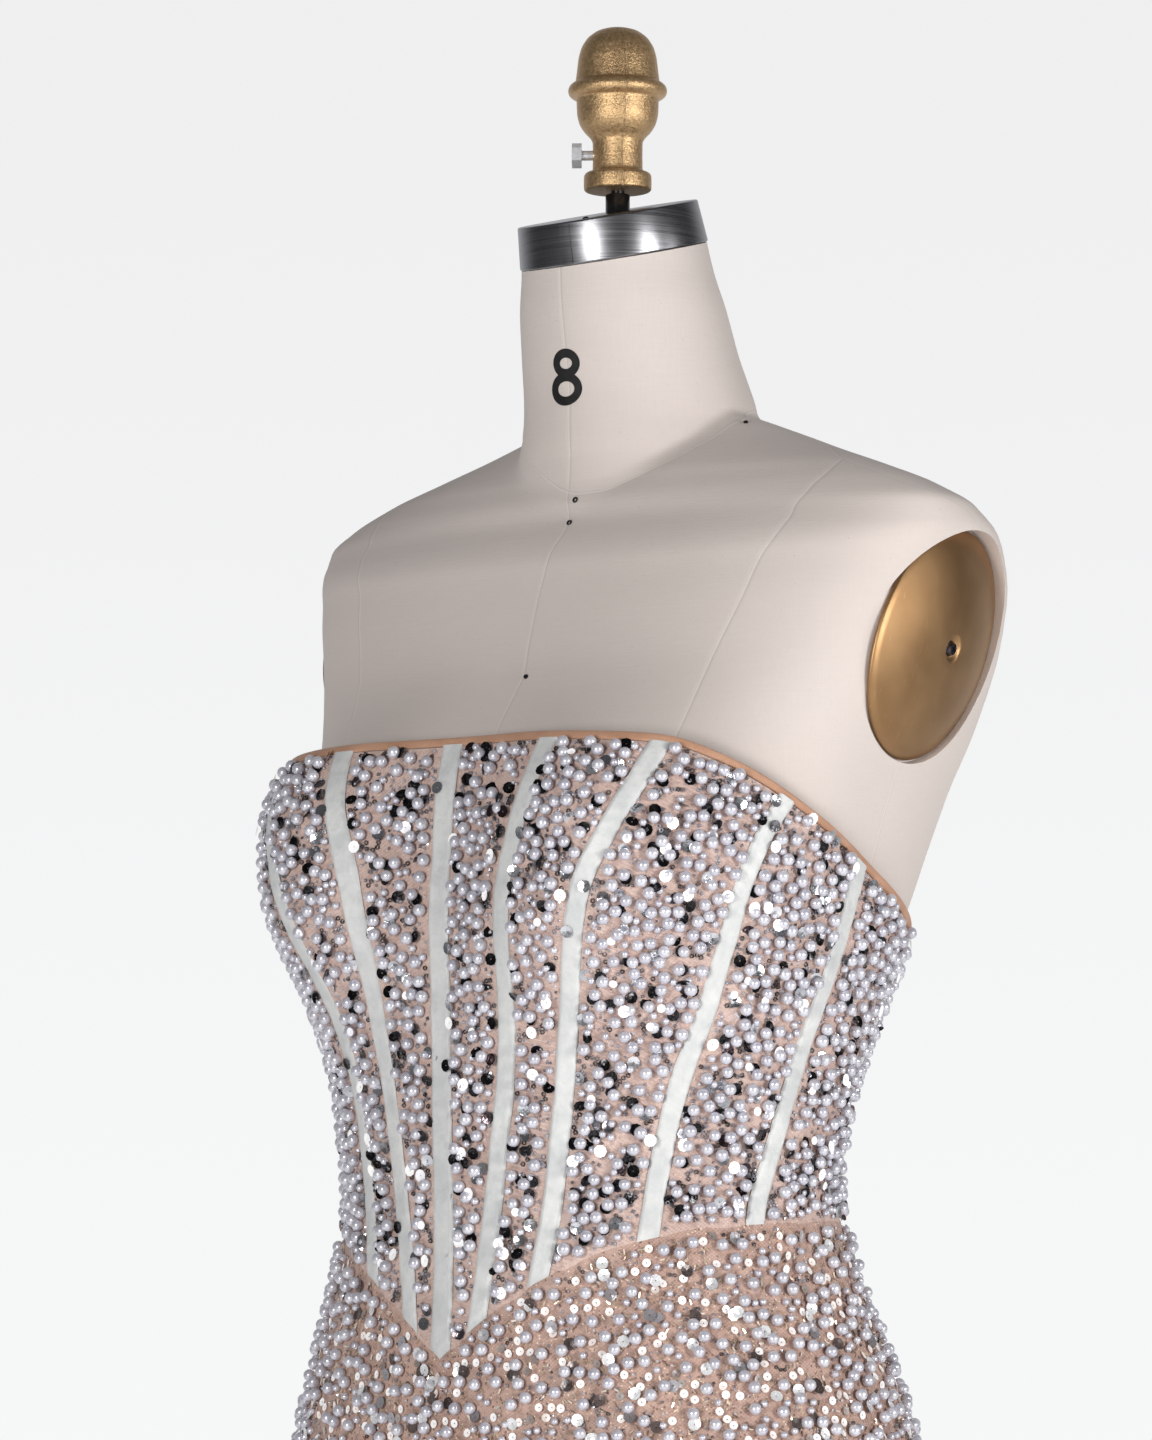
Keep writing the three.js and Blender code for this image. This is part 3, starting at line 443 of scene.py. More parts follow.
class Finish:
    """A material, or the given world, built node by node."""

    def __init__(self, name, world=None):
        self.material = world or bpy.data.materials.new(name)
        self.material.use_nodes = True
        self.nodes = self.material.node_tree.nodes
        self.links = self.material.node_tree.links
        self.nodes.clear()

    def node(self, kind, settings=None, inputs=None):
        made = self.nodes.new(kind)
        for key, setting in (settings or {}).items():
            if key == "stops":
                self.set_stops(made.color_ramp, setting)
            else:
                setattr(made, key, setting)
        for key, given in (inputs or {}).items():
            if isinstance(given, Value):
                self.links.new(given.socket, made.inputs[key])
            elif isinstance(given, bpy.types.NodeSocket):
                self.links.new(given, made.inputs[key])
            else:
                made.inputs[key].default_value = given
        return made

    def set_stops(self, ramp, stops):
        while len(ramp.elements) < len(stops):
            ramp.elements.new(0.5)
        for element, (position, color) in zip(ramp.elements, stops):
            element.position = position
            element.color = color

    def value(self, kind, settings=None, inputs=None, output=0):
        return Value(self, self.node(kind, settings, inputs).outputs[output])

    def coordinates(self, source="Object", stretch=(1, 1, 1), turn=0.0):
        where = self.node("ShaderNodeTexCoord").outputs[source]
        mapping = {"Vector": where, "Scale": stretch, "Rotation": (0, 0, turn)}
        return self.node("ShaderNodeMapping", None, mapping).outputs["Vector"]

    def noise(self, scale, detail=2.0, roughness=0.5, stretch=(1, 1, 1)):
        where = self.coordinates("Object", stretch)
        inputs = {"Vector": where, "Scale": scale, "Detail": detail, "Roughness": roughness}
        return self.value("ShaderNodeTexNoise", {"noise_dimensions": "3D"}, inputs)

    def cells(self, scale):
        inputs = {"Vector": self.coordinates(), "Scale": scale}
        return self.value("ShaderNodeTexVoronoi", None, inputs, "Distance")

    def axis(self, which, source="Object", turn=0.0):
        """One coordinate as a value."""
        split = self.node("ShaderNodeSeparateXYZ", None, {0: self.coordinates(source, turn=turn)})
        return Value(self, split.outputs[which])

    def attribute(self, name):
        return self.value("ShaderNodeAttribute", {"attribute_name": name}, None, "Fac")

    def mix(self, factor, first, second):
        settings = {"data_type": "RGBA", "blend_type": "MIX", "clamp_factor": True}
        return self.node("ShaderNodeMix", settings, {0: factor, 6: first, 7: second}).outputs[2]

    def ramp(self, factor, stops):
        return self.node("ShaderNodeValToRGB", {"stops": stops}, {"Fac": factor}).outputs["Color"]

    def bump(self, height, depth, strength=1.0, under=None):
        """Raises the surface by height times depth, in metres."""
        inputs = {"Height": height, "Distance": depth, "Strength": strength}
        if under is not None:
            inputs["Normal"] = under
        return self.node("ShaderNodeBump", None, inputs).outputs["Normal"]

    def surface(self, **inputs):
        """Ends the material with its shader; Coat_Weight stands for Coat Weight, and so on."""
        named = {key.replace("_", " "): given for key, given in inputs.items()}
        shader = self.node("ShaderNodeBsdfPrincipled", None, named)
        self.node("ShaderNodeOutputMaterial", None, {"Surface": shader.outputs[0]})
        return self.material


def paint(red, green, blue):
    """A colour as seen on a screen, 0 to 255, as the shader takes it."""
    screen = (red / 255, green / 255, blue / 255)
    linear = [c / 12.92 if c <= 0.04045 else ((c + 0.055) / 1.055) ** 2.4 for c in screen]
    return (*linear, 1.0)


def shades(*rows):
    """A ramp's stops, from rows of position, red, green and blue."""
    return [(position, paint(*color)) for position, *color in rows]


def linen_finish():
    """Natural linen, warm and close woven, with the form's sewn seams as fine ridges."""
    f = Finish("linen")
    across = f.noise(60, 3, 0.6, (1, 1, 28))
    upright = f.noise(60, 3, 0.6, (28, 28, 1))
    thread_across = f.noise(900, 1, 0.5, (0.12, 0.12, 1))
    thread_upright = f.noise(900, 1, 0.5, (1, 1, 0.12))
    slubs = across.ease(0.35, 0.75) * 0.5 + upright.ease(0.35, 0.75) * 0.5
    base = f.mix(slubs, paint(216, 205, 198), paint(221, 211, 204))
    base = f.mix(f.noise(9, 3, 0.55).ease(0.3, 0.7, 0.0, 0.4), base, paint(212, 200, 192))
    flecks = f.noise(420, 2, 0.6, (1, 1, 2.5)).ease(0.68, 0.76, 0.0, 0.28)
    base = f.mix(flecks, base, paint(170, 150, 134))
    lines = [f.attribute(name) for name in ("centre", "princess", "flank", "neck")]
    nearest = abs(lines[0])
    beside = abs(lines[0] + -0.7)
    for line in lines[1:]:
        nearest = nearest.least(abs(line))
        beside = beside.least(abs(line + -0.7))
    base = f.mix(nearest.ease(0.1, 0.5, 0.45, 0.0), base, paint(236, 229, 222))
    base = f.mix(beside.ease(0.1, 0.5, 0.22, 0.0), base, paint(168, 152, 142))
    normal = f.bump(thread_across + thread_upright, 0.00006, 0.4)
    normal = f.bump(slubs, 0.00012, 0.4, normal)
    normal = f.bump(nearest.ease(0.0, 1.8, -1.0, 0.0), 0.0002, 0.5, normal)
    return f.surface(Base_Color=base, Roughness=0.86, Normal=normal, Specular_IOR_Level=0.2, Sheen_Weight=0.1)


def net_finish(name, light, dark, thread, gloom, dust):
    """Fine nude net over its lining, in a slanting weave, darker where the beading shades it."""
    f = Finish(name)
    pitch = 2 * math.pi / 0.0014
    one = (f.axis("X", "UV", 0.9) * pitch).sine()
    other = (f.axis("X", "UV", -0.9) * pitch).sine()
    net = one.most(other).ease(0.3, 0.95)
    base = f.mix(f.noise(24, 3, 0.6).ease(0.3, 0.7), light, dark)
    base = f.mix(net * 0.5, base, thread)
    base = f.mix(f.noise(310, 2, 0.6).ease(0.45, 0.7, 0.0, 0.5), base, gloom)
    base = f.mix(f.cells(330).ease(0.16, 0.24, dust, 0.0), base, gloom)
    base = f.mix(f.cells(420).ease(0.14, 0.2, dust, 0.0), base, paint(250, 232, 206))
    base = f.mix(f.noise(160, 3, 0.6, (1, 1, 0.4)).ease(0.55, 0.8, 0.0, 0.3), base, paint(238, 220, 208))
    normal = f.bump(net, 0.00022, 0.9)
    normal = f.bump(f.noise(70, 3, 0.6), 0.0012, 0.6, normal)
    rough = f.noise(90, 2).ease(0.3, 0.7, 0.45, 0.7)
    return f.surface(Base_Color=base, Roughness=rough, Normal=normal, Sheen_Weight=0.2)


def tape_finish():
    """White satin boning tape, faintly mottled, turned under along both edges, with painted shade along those
    edges.
    """
    f = Finish("boning_tape")
    fine = f.noise(210, 3, 0.6)
    base = f.mix(f.noise(75, 3, 0.6).ease(0.3, 0.7), paint(204, 206, 204), paint(224, 224, 221))
    base = f.mix(fine.ease(0.4, 0.75, 0.0, 0.4), base, paint(196, 200, 199))
    edge = abs(f.axis("X", "UV")).ease(0.0039, 0.0045)
    # painted shade: both edges, where the tape turns under, are darkened in colour
    base = f.mix(edge * 0.15, base, paint(186, 186, 186))
    ribs = (f.axis("Y", "UV") * (2 * math.pi / 0.0008)).sine()
    normal = f.bump(ribs, 0.00004, 0.4)
    normal = f.bump(f.noise(95, 3, 0.6), 0.0016, 0.7, normal)
    normal = f.bump(edge * -1.0, 0.0001, 0.5, normal)
    rough = fine.ease(0.3, 0.7, 0.4, 0.6)
    return f.surface(Base_Color=base, Roughness=rough, Normal=normal, Sheen_Weight=0.1)


def binding_finish(name, light, dark):
    """Narrow ribbed satin."""
    f = Finish(name)
    ribs = (f.axis("X", "UV") * (2 * math.pi / 0.0011)).sine()
    drift = f.noise(60, 3)
    base = f.mix(drift.ease(0.3, 0.7), light, dark)
    base = f.mix(ribs.ease(-1, 1, 0.0, 0.18), base, paint(120, 84, 62))
    return f.surface(Base_Color=base, Roughness=0.62, Normal=f.bump(ribs, 0.00008, 0.6), Sheen_Weight=0.25)


def pearl_finish():
    """Lavender grey pearl: a lacquered skin over a soft shimmer that differs from pearl to pearl."""
    f = Finish("pearl")
    body = f.mix(f.attribute("tint"), paint(200, 199, 210), paint(224, 223, 231))
    swirl = f.noise(700, 1).ease(0.35, 0.65, 0.0, 0.3)
    body = f.mix(swirl, body, paint(208, 200, 208))
    return f.surface(
        Base_Color=body, Metallic=0.25, Roughness=0.34, Specular_IOR_Level=0.5,
        Coat_Weight=1.0, Coat_Roughness=0.04, Coat_IOR=2.1,
    )


def sequin_finish(name, stops, roughness=0.1, metallic=0.9, glow=0.0):
    """Foil discs whose tint runs through a ramp, with a worn, slightly cupped face. A glow above zero is a
    painted glow: emission that makes the discs shine without a lamp.
    """
    f = Finish(name)
    base = f.ramp(f.attribute("tint"), stops)
    haze = f.noise(900, 2).ease(0.4, 0.7, 0.0, 0.2)
    base = f.mix(haze, base, f.mix(0.25, base, paint(250, 248, 246)))
    rough = f.noise(1200, 2).ease(0.3, 0.7, roughness, roughness + 0.12)
    normal = f.bump(f.noise(800, 1), 0.0002, 0.4)
    return f.surface(
        Base_Color=base, Roughness=rough, Metallic=metallic, Normal=normal,
        # painted glow: emission in the disc's own colour
        Emission_Color=base, Emission_Strength=glow,
    )


def seed_finish(name, stops):
    """Silver lined glass seed beads."""
    f = Finish(name)
    base = f.ramp(f.attribute("tint"), stops)
    glint = f.noise(1600, 1).ease(0.52, 0.64, 0.0, 0.5)
    base = f.mix(glint, base, paint(236, 232, 232))
    return f.surface(Base_Color=base, Roughness=0.2, Metallic=0.3, Specular_IOR_Level=0.7, Coat_Weight=0.4)


def steel_finish():
    """Polished steel with a faint grain running round the band."""
    f = Finish("neck_steel")
    grain = f.noise(420, 4, 0.7, (0.02, 0.02, 3))
    base = f.mix(grain.ease(0.3, 0.7), paint(124, 124, 127), paint(150, 150, 152))
    rough = grain.ease(0.25, 0.75, 0.2, 0.3) + f.noise(14, 3).ease(0.3, 0.7, 0.0, 0.08)
    return f.surface(Base_Color=base, Metallic=1.0, Roughness=rough, Normal=f.bump(grain, 0.00002, 0.4))


def bronze_finish():
    """Cast knob: old gold paint over a pitted skin, darker in its hollows."""
    f = Finish("knob_gold")
    pits = f.noise(1300, 3, 0.6)
    coarse = f.noise(600, 3, 0.6)
    base = f.mix(coarse.ease(0.3, 0.7), paint(188, 154, 110), paint(210, 176, 132))
    base = f.mix(pits.ease(0.55, 0.72, 0.0, 0.6), base, paint(84, 58, 36))
    parting = abs(f.attribute("parting")).ease(0.0, 0.5, 1.0, 0.0)
    normal = f.bump(coarse, 0.0005, 0.6)
    normal = f.bump(pits, 0.0003, 0.7, normal)
    normal = f.bump(parting, 0.0004, 0.8, normal)
    rough = coarse.ease(0.3, 0.7, 0.32, 0.46)
    return f.surface(Base_Color=base, Metallic=0.8, Roughness=rough, Normal=normal)


def plate_finish():
    """Satin gold arm plate, lightly rubbed."""
    f = Finish("arm_plate_gold")
    cloud = f.noise(26, 3, 0.5)
    specks = f.noise(800, 2, 0.6)
    base = f.mix(cloud.ease(0.3, 0.7), paint(160, 124, 86), paint(178, 142, 102))
    base = f.mix(specks.ease(0.7, 0.8, 0.0, 0.35), base, paint(120, 92, 50))
    scratch = f.noise(240, 2, 0.5, (1, 6, 0.3)).ease(0.68, 0.74, 0.0, 0.25)
    base = f.mix(scratch, base, paint(226, 202, 156))
    rough = cloud.ease(0.3, 0.7, 0.4, 0.48) + scratch * 0.15
    return f.surface(Base_Color=base, Metallic=0.95, Roughness=rough, Normal=f.bump(specks, 0.0001, 0.4))


def hard_finish(name, dark, light, roughness, metallic=0.0, grain=300):
    """Painted or plated metal with small wear in colour and gloss."""
    f = Finish(name)
    wear = f.noise(grain, 3, 0.6)
    cloud = f.noise(12, 2)
    base = f.mix(wear.ease(0.35, 0.8), dark, light)
    rough = cloud.ease(0.3, 0.7, roughness, roughness + 0.12)
    return f.surface(Base_Color=base, Metallic=metallic, Roughness=rough, Normal=f.bump(wear, 0.0001, 0.4))


LINEN = linen_finish()
BODICE_NET = net_finish(
    "bodice_net", paint(219, 190, 178), paint(202, 170, 158), paint(234, 210, 198), paint(168, 138, 130), 0.35
)
SKIRT_NET = net_finish(
    "skirt_net", paint(203, 168, 152), paint(185, 149, 134), paint(224, 192, 177), paint(130, 99, 88), 0.85
)
TAPE = tape_finish()
BINDING = binding_finish("binding", paint(206, 158, 128), paint(190, 142, 112))
ZIP_TAPE = binding_finish("zip_tape", paint(202, 168, 150), paint(188, 152, 134))
PEARL = pearl_finish()
BLACK, WHITE = (22, 22, 24), (246, 246, 246)
# Mirror sequins, mostly painted black and the rest grey to near white: a painted reflection of the dark room
# and the bright lamps, over their real mirror reflection.
SEQUIN = sequin_finish("sequin", shades(
    (0.0, *BLACK), (0.6, 40, 38, 42), (0.64, 80, 58, 62), (0.68, 150, 152, 156), (0.84, 206, 208, 212),
    (1.0, 232, 232, 236),
))
# Small white discs with a painted glow: their emission makes them shine without a lamp.
DISC = sequin_finish("disc_sequin", shades(
    (0.0, 120, 108, 104), (0.12, 160, 150, 144), (0.2, 240, 228, 222), (0.75, *WHITE), (1.0, 246, 236, 228),
), 0.25, 0.1, 0.22)
# Sequins painted white with a painted glow: a painted reflection of the lamps in mirror sequins, and emission
# that makes them shine without a lamp.
PAINTED_FLASH = sequin_finish("painted_flash_sequin", shades(
    (0.0, 236, 234, 238), (0.3, *WHITE), (1.0, 255, 252, 250),
), 0.3, 0.0, 0.2)
BIG_DISC = sequin_finish("skirt_sequin", shades(
    (0.0, 60, 50, 48), (0.3, 104, 90, 86), (0.42, 150, 146, 150), (0.6, 190, 188, 192), (0.66, *WHITE),
    (1.0, *WHITE),
), 0.18, 0.3)
SEED = seed_finish("seed_bead", shades(
    (0.0, 44, 38, 40), (0.5, 74, 66, 68), (0.66, 136, 132, 138), (0.84, 176, 172, 180), (1.0, 206, 204, 210),
))
GLINT = seed_finish("bugle_glint", shades(
    (0.0, 120, 92, 70), (0.4, 190, 160, 130), (0.7, 232, 208, 176), (1.0, 255, 246, 232),
))
STEEL = steel_finish()
BRONZE = bronze_finish()
PLATE = plate_finish()
CHROME = hard_finish("screw_chrome", paint(222, 223, 226), paint(240, 240, 242), 0.2, 0.55, 500)
# The arm plates' screws are darkened in colour: painted shade standing for the dark recess they sit in.
SCREW_DARK = hard_finish("screw_dark", paint(70, 66, 72), paint(110, 106, 112), 0.3, 1.0, 500)
BLACK_GLOSS = hard_finish("rod_black", paint(14, 14, 15), paint(34, 34, 36), 0.16)
BLACK_SATIN = hard_finish("stand_black", paint(20, 20, 21), paint(40, 40, 42), 0.36)
INK = hard_finish("size_ink", paint(14, 14, 14), paint(30, 29, 28), 0.6)
CRUMB = seed_finish("silver_crumb", shades(
    (0.0, 88, 84, 90), (0.4, 150, 147, 156), (0.8, 196, 194, 204), (1.0, 238, 236, 240),
))
CHROME_TEETH = hard_finish("zip_chrome", paint(176, 176, 178), paint(206, 206, 208), 0.24, 1.0, 900)

# ---------------------------------------------------------------- dress form

NECK_TILT = 0.253
TILT_FROM = 392  # the neck's rows lean from level here to the band's slant
BAND = {"height": 447, "y": -2.7, "rise": 20.5, "lower": 45.6, "upper": 43.6}
ARM = {
    "x": 163.1, "y": 28.2, "z": 252, "long": 56.2, "short": 48.8, "turn": -6, "lean": 13.7,
    "oval": 26, "margin": 1.2,
}
PLATE_RIM = 2.4
PLATE_DOME = 11.1
KNOB_HEIGHT = 478.6
# The form's seams: height and angle of the ones that run up it, angle and height of the neck's
PRINCESS = [
    (30, 42), (110, 40), (165, 44), (209, 51), (225, 53.4), (248, 56.8), (272, 60), (288, 62), (301, 65.4),
    (312, 69.6), (322, 75), (330, 80), (338, 85.5),
]
FLANK_SEAM = [
    (-340, 92), (0, 92), (180, 96), (240, 97), (300, 96), (311, 94), (321, 87), (328, 85.5), (338, 85.5),
    (348, 90), (357, 97), (366, 108), (372, 124),
]
NECK_SEAM = [
    (-180, 374), (-112, 372), (-80, 368), (-60, 363), (-44, 356), (-32, 346), (-21, 339), (-9, 333),
    (1, 329.5), (10, 328), (24, 328.5), (43, 334.5), (57, 342), (66, 349.5), (82, 362.5),
    (118, 372), (180, 374),
]
# Height and sideways place, in millimetres
CENTRE_SEAM = [
    (200, 0.4), (215, 0.8), (239, 4.0), (254, 2.2), (274, 2.0), (299, 3.8), (310, 6.4), (318, 4.6),
    (330, 1.2), (354, 2.2), (440, 1.5),
]


def band_plane(y):
    return BAND["height"] + NECK_TILT * (y - BAND["y"]) - SEAM_GAP


# Share of the way up the form's grid, and height
FORM_ROWS = [
    (0, -FORM_DROP), (0.18, 20), (0.4, 240), (0.5, 290), (0.62, 325), (0.82, 375), (0.9, 400),
    (1, BAND["height"]),
]


def form_place(u, v):
    turn = 2 * np.pi * u - np.pi
    rows = np.interp(v, *zip(*FORM_ROWS))
    z = rows.copy()
    for _ in range(6):
        side, depth, behind = (column_at(FORM_SECTIONS, index, z) for index in (2, 3, 4))
        depth = np.maximum(np.where(np.cos(turn) > 0, depth, behind), side * 0.7)
        angle = np.degrees(np.arctan2(side * np.sin(turn), depth * np.cos(turn)))
        points = form_point(angle, z)
        share = np.clip((rows - TILT_FROM) / (BAND["height"] - TILT_FROM), 0, 1)
        z = rows + share * (band_plane(points[:, 1]) - BAND["height"])
    return form_point(angle, z, -0.5 * np.exp(-((z - curve(*zip(*NECK_SEAM), angle)) / 2.5) ** 2))


def arm_axes(side):
    turn = Matrix.Rotation(-math.radians(ARM["turn"]), 3, "Z")
    out = turn @ Matrix.Rotation(math.radians(ARM["lean"]), 3, "Y") @ Vector((1, 0, 0))
    upright = Matrix.Rotation(-math.radians(ARM["oval"]), 3, "X") @ Vector((0, 0, 1))
    along = (upright - out * upright.dot(out)).normalized()
    out.x *= side
    along.x *= side
    across = along.cross(out)
    matrix = Matrix((across, along, out)).transposed().to_4x4()
    return Matrix.Translation((side * ARM["x"], ARM["y"], WAIST + ARM["z"])) @ matrix


def cut_away(shape, tools):
    """Cuts closed tools out of a closed shape."""
    target = link_object("tool", mesh_of("tool", shape))
    cutters = [link_object("tool", mesh_of("tool", tool)) for tool in tools]
    for cutter in cutters:
        modifier = target.modifiers.new("cut", "BOOLEAN")
        modifier.operation = "DIFFERENCE"
        modifier.solver = "EXACT"
        modifier.object = cutter
    bpy.context.view_layer.update()
    result = target.evaluated_get(bpy.context.evaluated_depsgraph_get()).to_mesh()
    cut = bmesh.new()
    cut.from_mesh(result)
    for used in [target, *cutters]:
        bpy.data.objects.remove(used)
    return cut


def mark_seams(mesh):
    """Signed distances in millimetres from the form's seams, for its finish."""
    points = np.empty(len(mesh.vertices) * 3)
    mesh.vertices.foreach_get("co", points)
    points = points.reshape(-1, 3) / MM
    z = points[:, 2] - WAIST
    centre = column_at(FORM_SECTIONS, 1, z)
    angle = np.abs(np.degrees(np.arctan2(points[:, 0], centre - points[:, 1])))
    radius = np.hypot(points[:, 0], points[:, 1] - centre)
    per_degree = np.radians(radius)
    far = 50.0
    signed = np.where(points[:, 0] < 0, -angle, angle)
    neck = z - curve(*zip(*NECK_SEAM), signed)
    princess = (angle - curve(*zip(*PRINCESS), z)) * per_degree
    princess = np.where((z > PRINCESS[-1][0]) | (neck > 0), far, princess)
    flank = (angle - curve(*zip(*FLANK_SEAM), z)) * per_degree
    flank = np.where(neck > 0, far, flank)
    centre_seam = points[:, 0] - curve(*zip(*CENTRE_SEAM), z)
    for name, distance in (("princess", princess), ("flank", flank), ("neck", neck), ("centre", centre_seam)):
        write_values(mesh, name, distance)


def build_form_body():
    shape = laid_grid(144, 136, form_place)
    closed(shape)
    seats = []
    for side in SIDES.values():
        tool = bmesh.new()
        bmesh.ops.create_cone(tool, cap_ends=True, segments=128, radius1=1, radius2=1, depth=60)
        moved(tool, (0, 0, 30))
        reach = (ARM["short"] + ARM["margin"], ARM["long"] + ARM["margin"], 1)
        sized(tool, reach)
        placed(tool, arm_axes(side))
        faced_out(tool)
        seats.append(tool)
    body = make_piece("form_linen", cut_away(shape, seats), LINEN, "form_body", 50)
    mark_seams(body.data)


def build_arm_plates():
    edge, eye, steps = 0.99, 0.13, 14
    for name, side in SIDES.items():
        ring = [(0, 0), (0.955, 0), (0.99, 0.4), (1.0, 1.2), (0.998, 2.0)]
        for step in range(steps + 1):
            reach = edge - (edge - eye) * step / steps
            ring.append((reach, PLATE_RIM + PLATE_DOME * (1 - reach**2.2)))
        ring += [(0.118, 13.2), (0.102, 12.6), (0.088, 11.6), (0.07, 11.3), (0, 11.3)]
        shape = lathe(ring, 128)
        sized(shape, (ARM["short"], ARM["long"], 1))
        moved(shape, (0, 0, SEAM_GAP))
        placed(shape, arm_axes(side))
        faced_out(shape)
        make_piece(f"arm_plate_{name}_gold", shape, PLATE, f"arm_plate_{name}", 60)


def build_neck_band():
    tilt = Matrix.Translation((0, BAND["y"], WAIST + BAND["height"]))
    tilt = tilt @ Matrix.Rotation(math.atan(NECK_TILT), 4, "X")
    profile = rounded([(0, 0), (BAND["lower"], 0), (BAND["upper"], BAND["rise"]), (0, BAND["rise"])], 0.9)
    shape = lathe(profile, 128)
    placed(shape, tilt)
    make_piece("neck_band_steel", shape, STEEL, "neck_band")
    lap = laid_grid(4, 6, lap_place)
    bmesh.ops.solidify(lap, geom=lap.faces[:], thickness=0.5)
    placed(lap, tilt)
    make_piece("neck_band_lap", lap, STEEL)
    rivet = bmesh.new()
    bmesh.ops.create_uvsphere(rivet, u_segments=16, v_segments=8, radius=1.6)
    sized(rivet, (1, 1, 0.55))
    moved(rivet, (14, -34, BAND["rise"] + 0.1))
    placed(rivet, tilt)
    make_piece("neck_band_rivet", rivet, BLACK_GLOSS)


def lap_place(u, v):
    """Overlap where the band's two ends meet."""
    turn = np.radians(-100 + 7 * (u - 0.5) - 90)
    radius = BAND["lower"] + (BAND["upper"] - BAND["lower"]) * v + 0.35
    return np.stack([radius * np.sin(turn), radius * np.cos(turn), 0.9 + (BAND["rise"] - 1.8) * v], axis=-1)


# Radius and height
KNOB_PROFILE = [
    (0, 0), (15.4, 0), (16.2, 0.8), (16.3, 4), (16.2, 7.6), (15.2, 8.8), (12.6, 9.3), (12, 10.5), (11.9, 17),
    (12, 24), (13.4, 26.2), (16.2, 29), (18.4, 32.6), (19.5, 37), (19.8, 44.6), (21.8, 45.4), (23.4, 46.8),
    (23.9, 48.8), (23.2, 51), (21.6, 52.3), (20.3, 52.9), (19.6, 58), (18.8, 65), (17.4, 70), (14.6, 74.4),
    (10.4, 77.6), (5.4, 79.2), (0, 79.6),
]


def build_knob_and_rod():
    shape = lathe(rounded(KNOB_PROFILE, 1.6, 3), 72)
    moved(shape, (0, 0, WAIST + KNOB_HEIGHT))
    knob = make_piece("cast_knob_gold", shape, BRONZE, "cast_knob", 70)
    points = np.array([v.co[:] for v in knob.data.vertices])
    turn = math.radians(-50)
    off_line = (points[:, 0] * math.cos(turn) - points[:, 1] * math.sin(turn)) / MM
    write_values(knob.data, "parting", off_line)
    sleeve, rod = 5.85, 3.25
    foot, shoulder, top = 457.3, 477, 510
    profile = [(0, foot), (sleeve, foot), (sleeve, 476.4), (sleeve - 0.5, shoulder)]
    profile += [(rod, shoulder), (rod, top), (0, top)]
    shape = lathe(profile, 48)
    moved(shape, (0, 0, WAIST))
    make_piece("top_rod_black", shape, BLACK_GLOSS, "top_rod")


def build_stand():
    radius, foot, top = 12.5, 10.3, 759.7
    pole = lathe(rounded([(0, foot), (radius, foot), (radius, top), (0, top)], 0.6), 64)
    make_piece("stand_pole_black", pole, BLACK_SATIN, "stand_pole")
    profile = [
        (0, 0), (208, 0), (210, 2), (210, 6), (207, 8), (151, 13), (88, 19), (35, 23), (26, 28), (23, 34),
        (23, 56), (21, 58), (12.8, 58), (12.8, 10), (0, 10),
    ]
    base = lathe(rounded(profile, 3.0, 3), 96)
    make_piece("stand_base_black", base, BLACK_SATIN, "stand_base", 50)


def on_form(points):
    """Points (x, height) drawn on the front of the neck, moved onto the linen."""
    x, height = np.asarray(points, float).T
    radius = 54  # near the neck's own, and the steps below take up the rest
    angle = np.degrees(np.arcsin(np.clip(x / radius, -1, 1)))
    for _ in range(6):
        reach = form_point(angle, height)
        angle = angle + np.degrees((x - reach[:, 0]) / radius)
    return form_point(angle, height, 0.15)


def build_size_number():
    """The form's plain size number: two loops, one above the other."""
    loops = [(6.9, 7.9, 390.6, 1.7), (7.9, 9.2, 378.6, 0.6)]
    stroke = 4.3
    shape = bmesh.new()
    for tall, wide, height, middle in loops:
        inner = bmesh.ops.create_circle(shape, cap_ends=False, segments=64, radius=1)["verts"]
        rim = {edge for vertex in inner for edge in vertex.link_edges}
        outer = bmesh.ops.extrude_edge_only(shape, edges=list(rim))["geom"]
        outer = [item for item in outer if isinstance(item, bmesh.types.BMVert)]
        for ring, reach in ((inner, (wide - stroke, tall - stroke)), (outer, (wide, tall))):
            for vertex in ring:
                around = math.atan2(vertex.co.y, vertex.co.x)
                vertex.co = (middle + reach[0] * math.cos(around), height + reach[1] * math.sin(around), 0)
    for vertex, point in zip(shape.verts, on_form([vertex.co[:2] for vertex in shape.verts])):
        vertex.co = point
    faced_out(shape)
    make_piece("size_number", shape, INK)


def build_pins():
    """Two eyelet pins at the front of the neck and two round heads."""
    shape = bmesh.new()
    places = [(8.5, 325.0, True), (7.0, 313.8, True), (4.5, 238.8, False), (82.5, 361.6, False)]
    for angle, z, open_ring in places:
        point, aside, above = form_point(np.array([angle, angle + 1, angle]), np.array([z, z, z + 1]), 0.35)
        out = Vector(np.cross(aside - point, above - point)).normalized()
        stand = Matrix.Translation(Vector(point)) @ out.to_track_quat("Z", "Y").to_matrix().to_4x4()
        if open_ring:
            pin = lathe([(1.35, 0), (1.5, 0.35), (1.2, 0.7), (0.75, 0.5), (0.7, 0), (1.35, 0)], 20)
        else:
            pin = lathe([(0, -0.4), (1.1, -0.2), (1.25, 0.3), (0.9, 0.8), (0, 1.0)], 20)
        placed(pin, stand)
        mesh = mesh_of("pin", pin)
        shape.from_mesh(mesh)
        bpy.data.meshes.remove(mesh)
    make_piece("form_pins", shape, BLACK_GLOSS)


# ---------------------------------------------------------------- dress


def declare_sheet(size, with_pieces=()):
    """Turns the size of a cloth piece's cut, measured over its own surface, into metres; the result is not
    used.
    """
    across, upward, area = size
    flat = (across * MM, upward * MM)
    area * MM * MM


# A cut's size is taken as no narrower than this. Only the zip tape is really narrower.
NARROWEST_CUT = 10.2


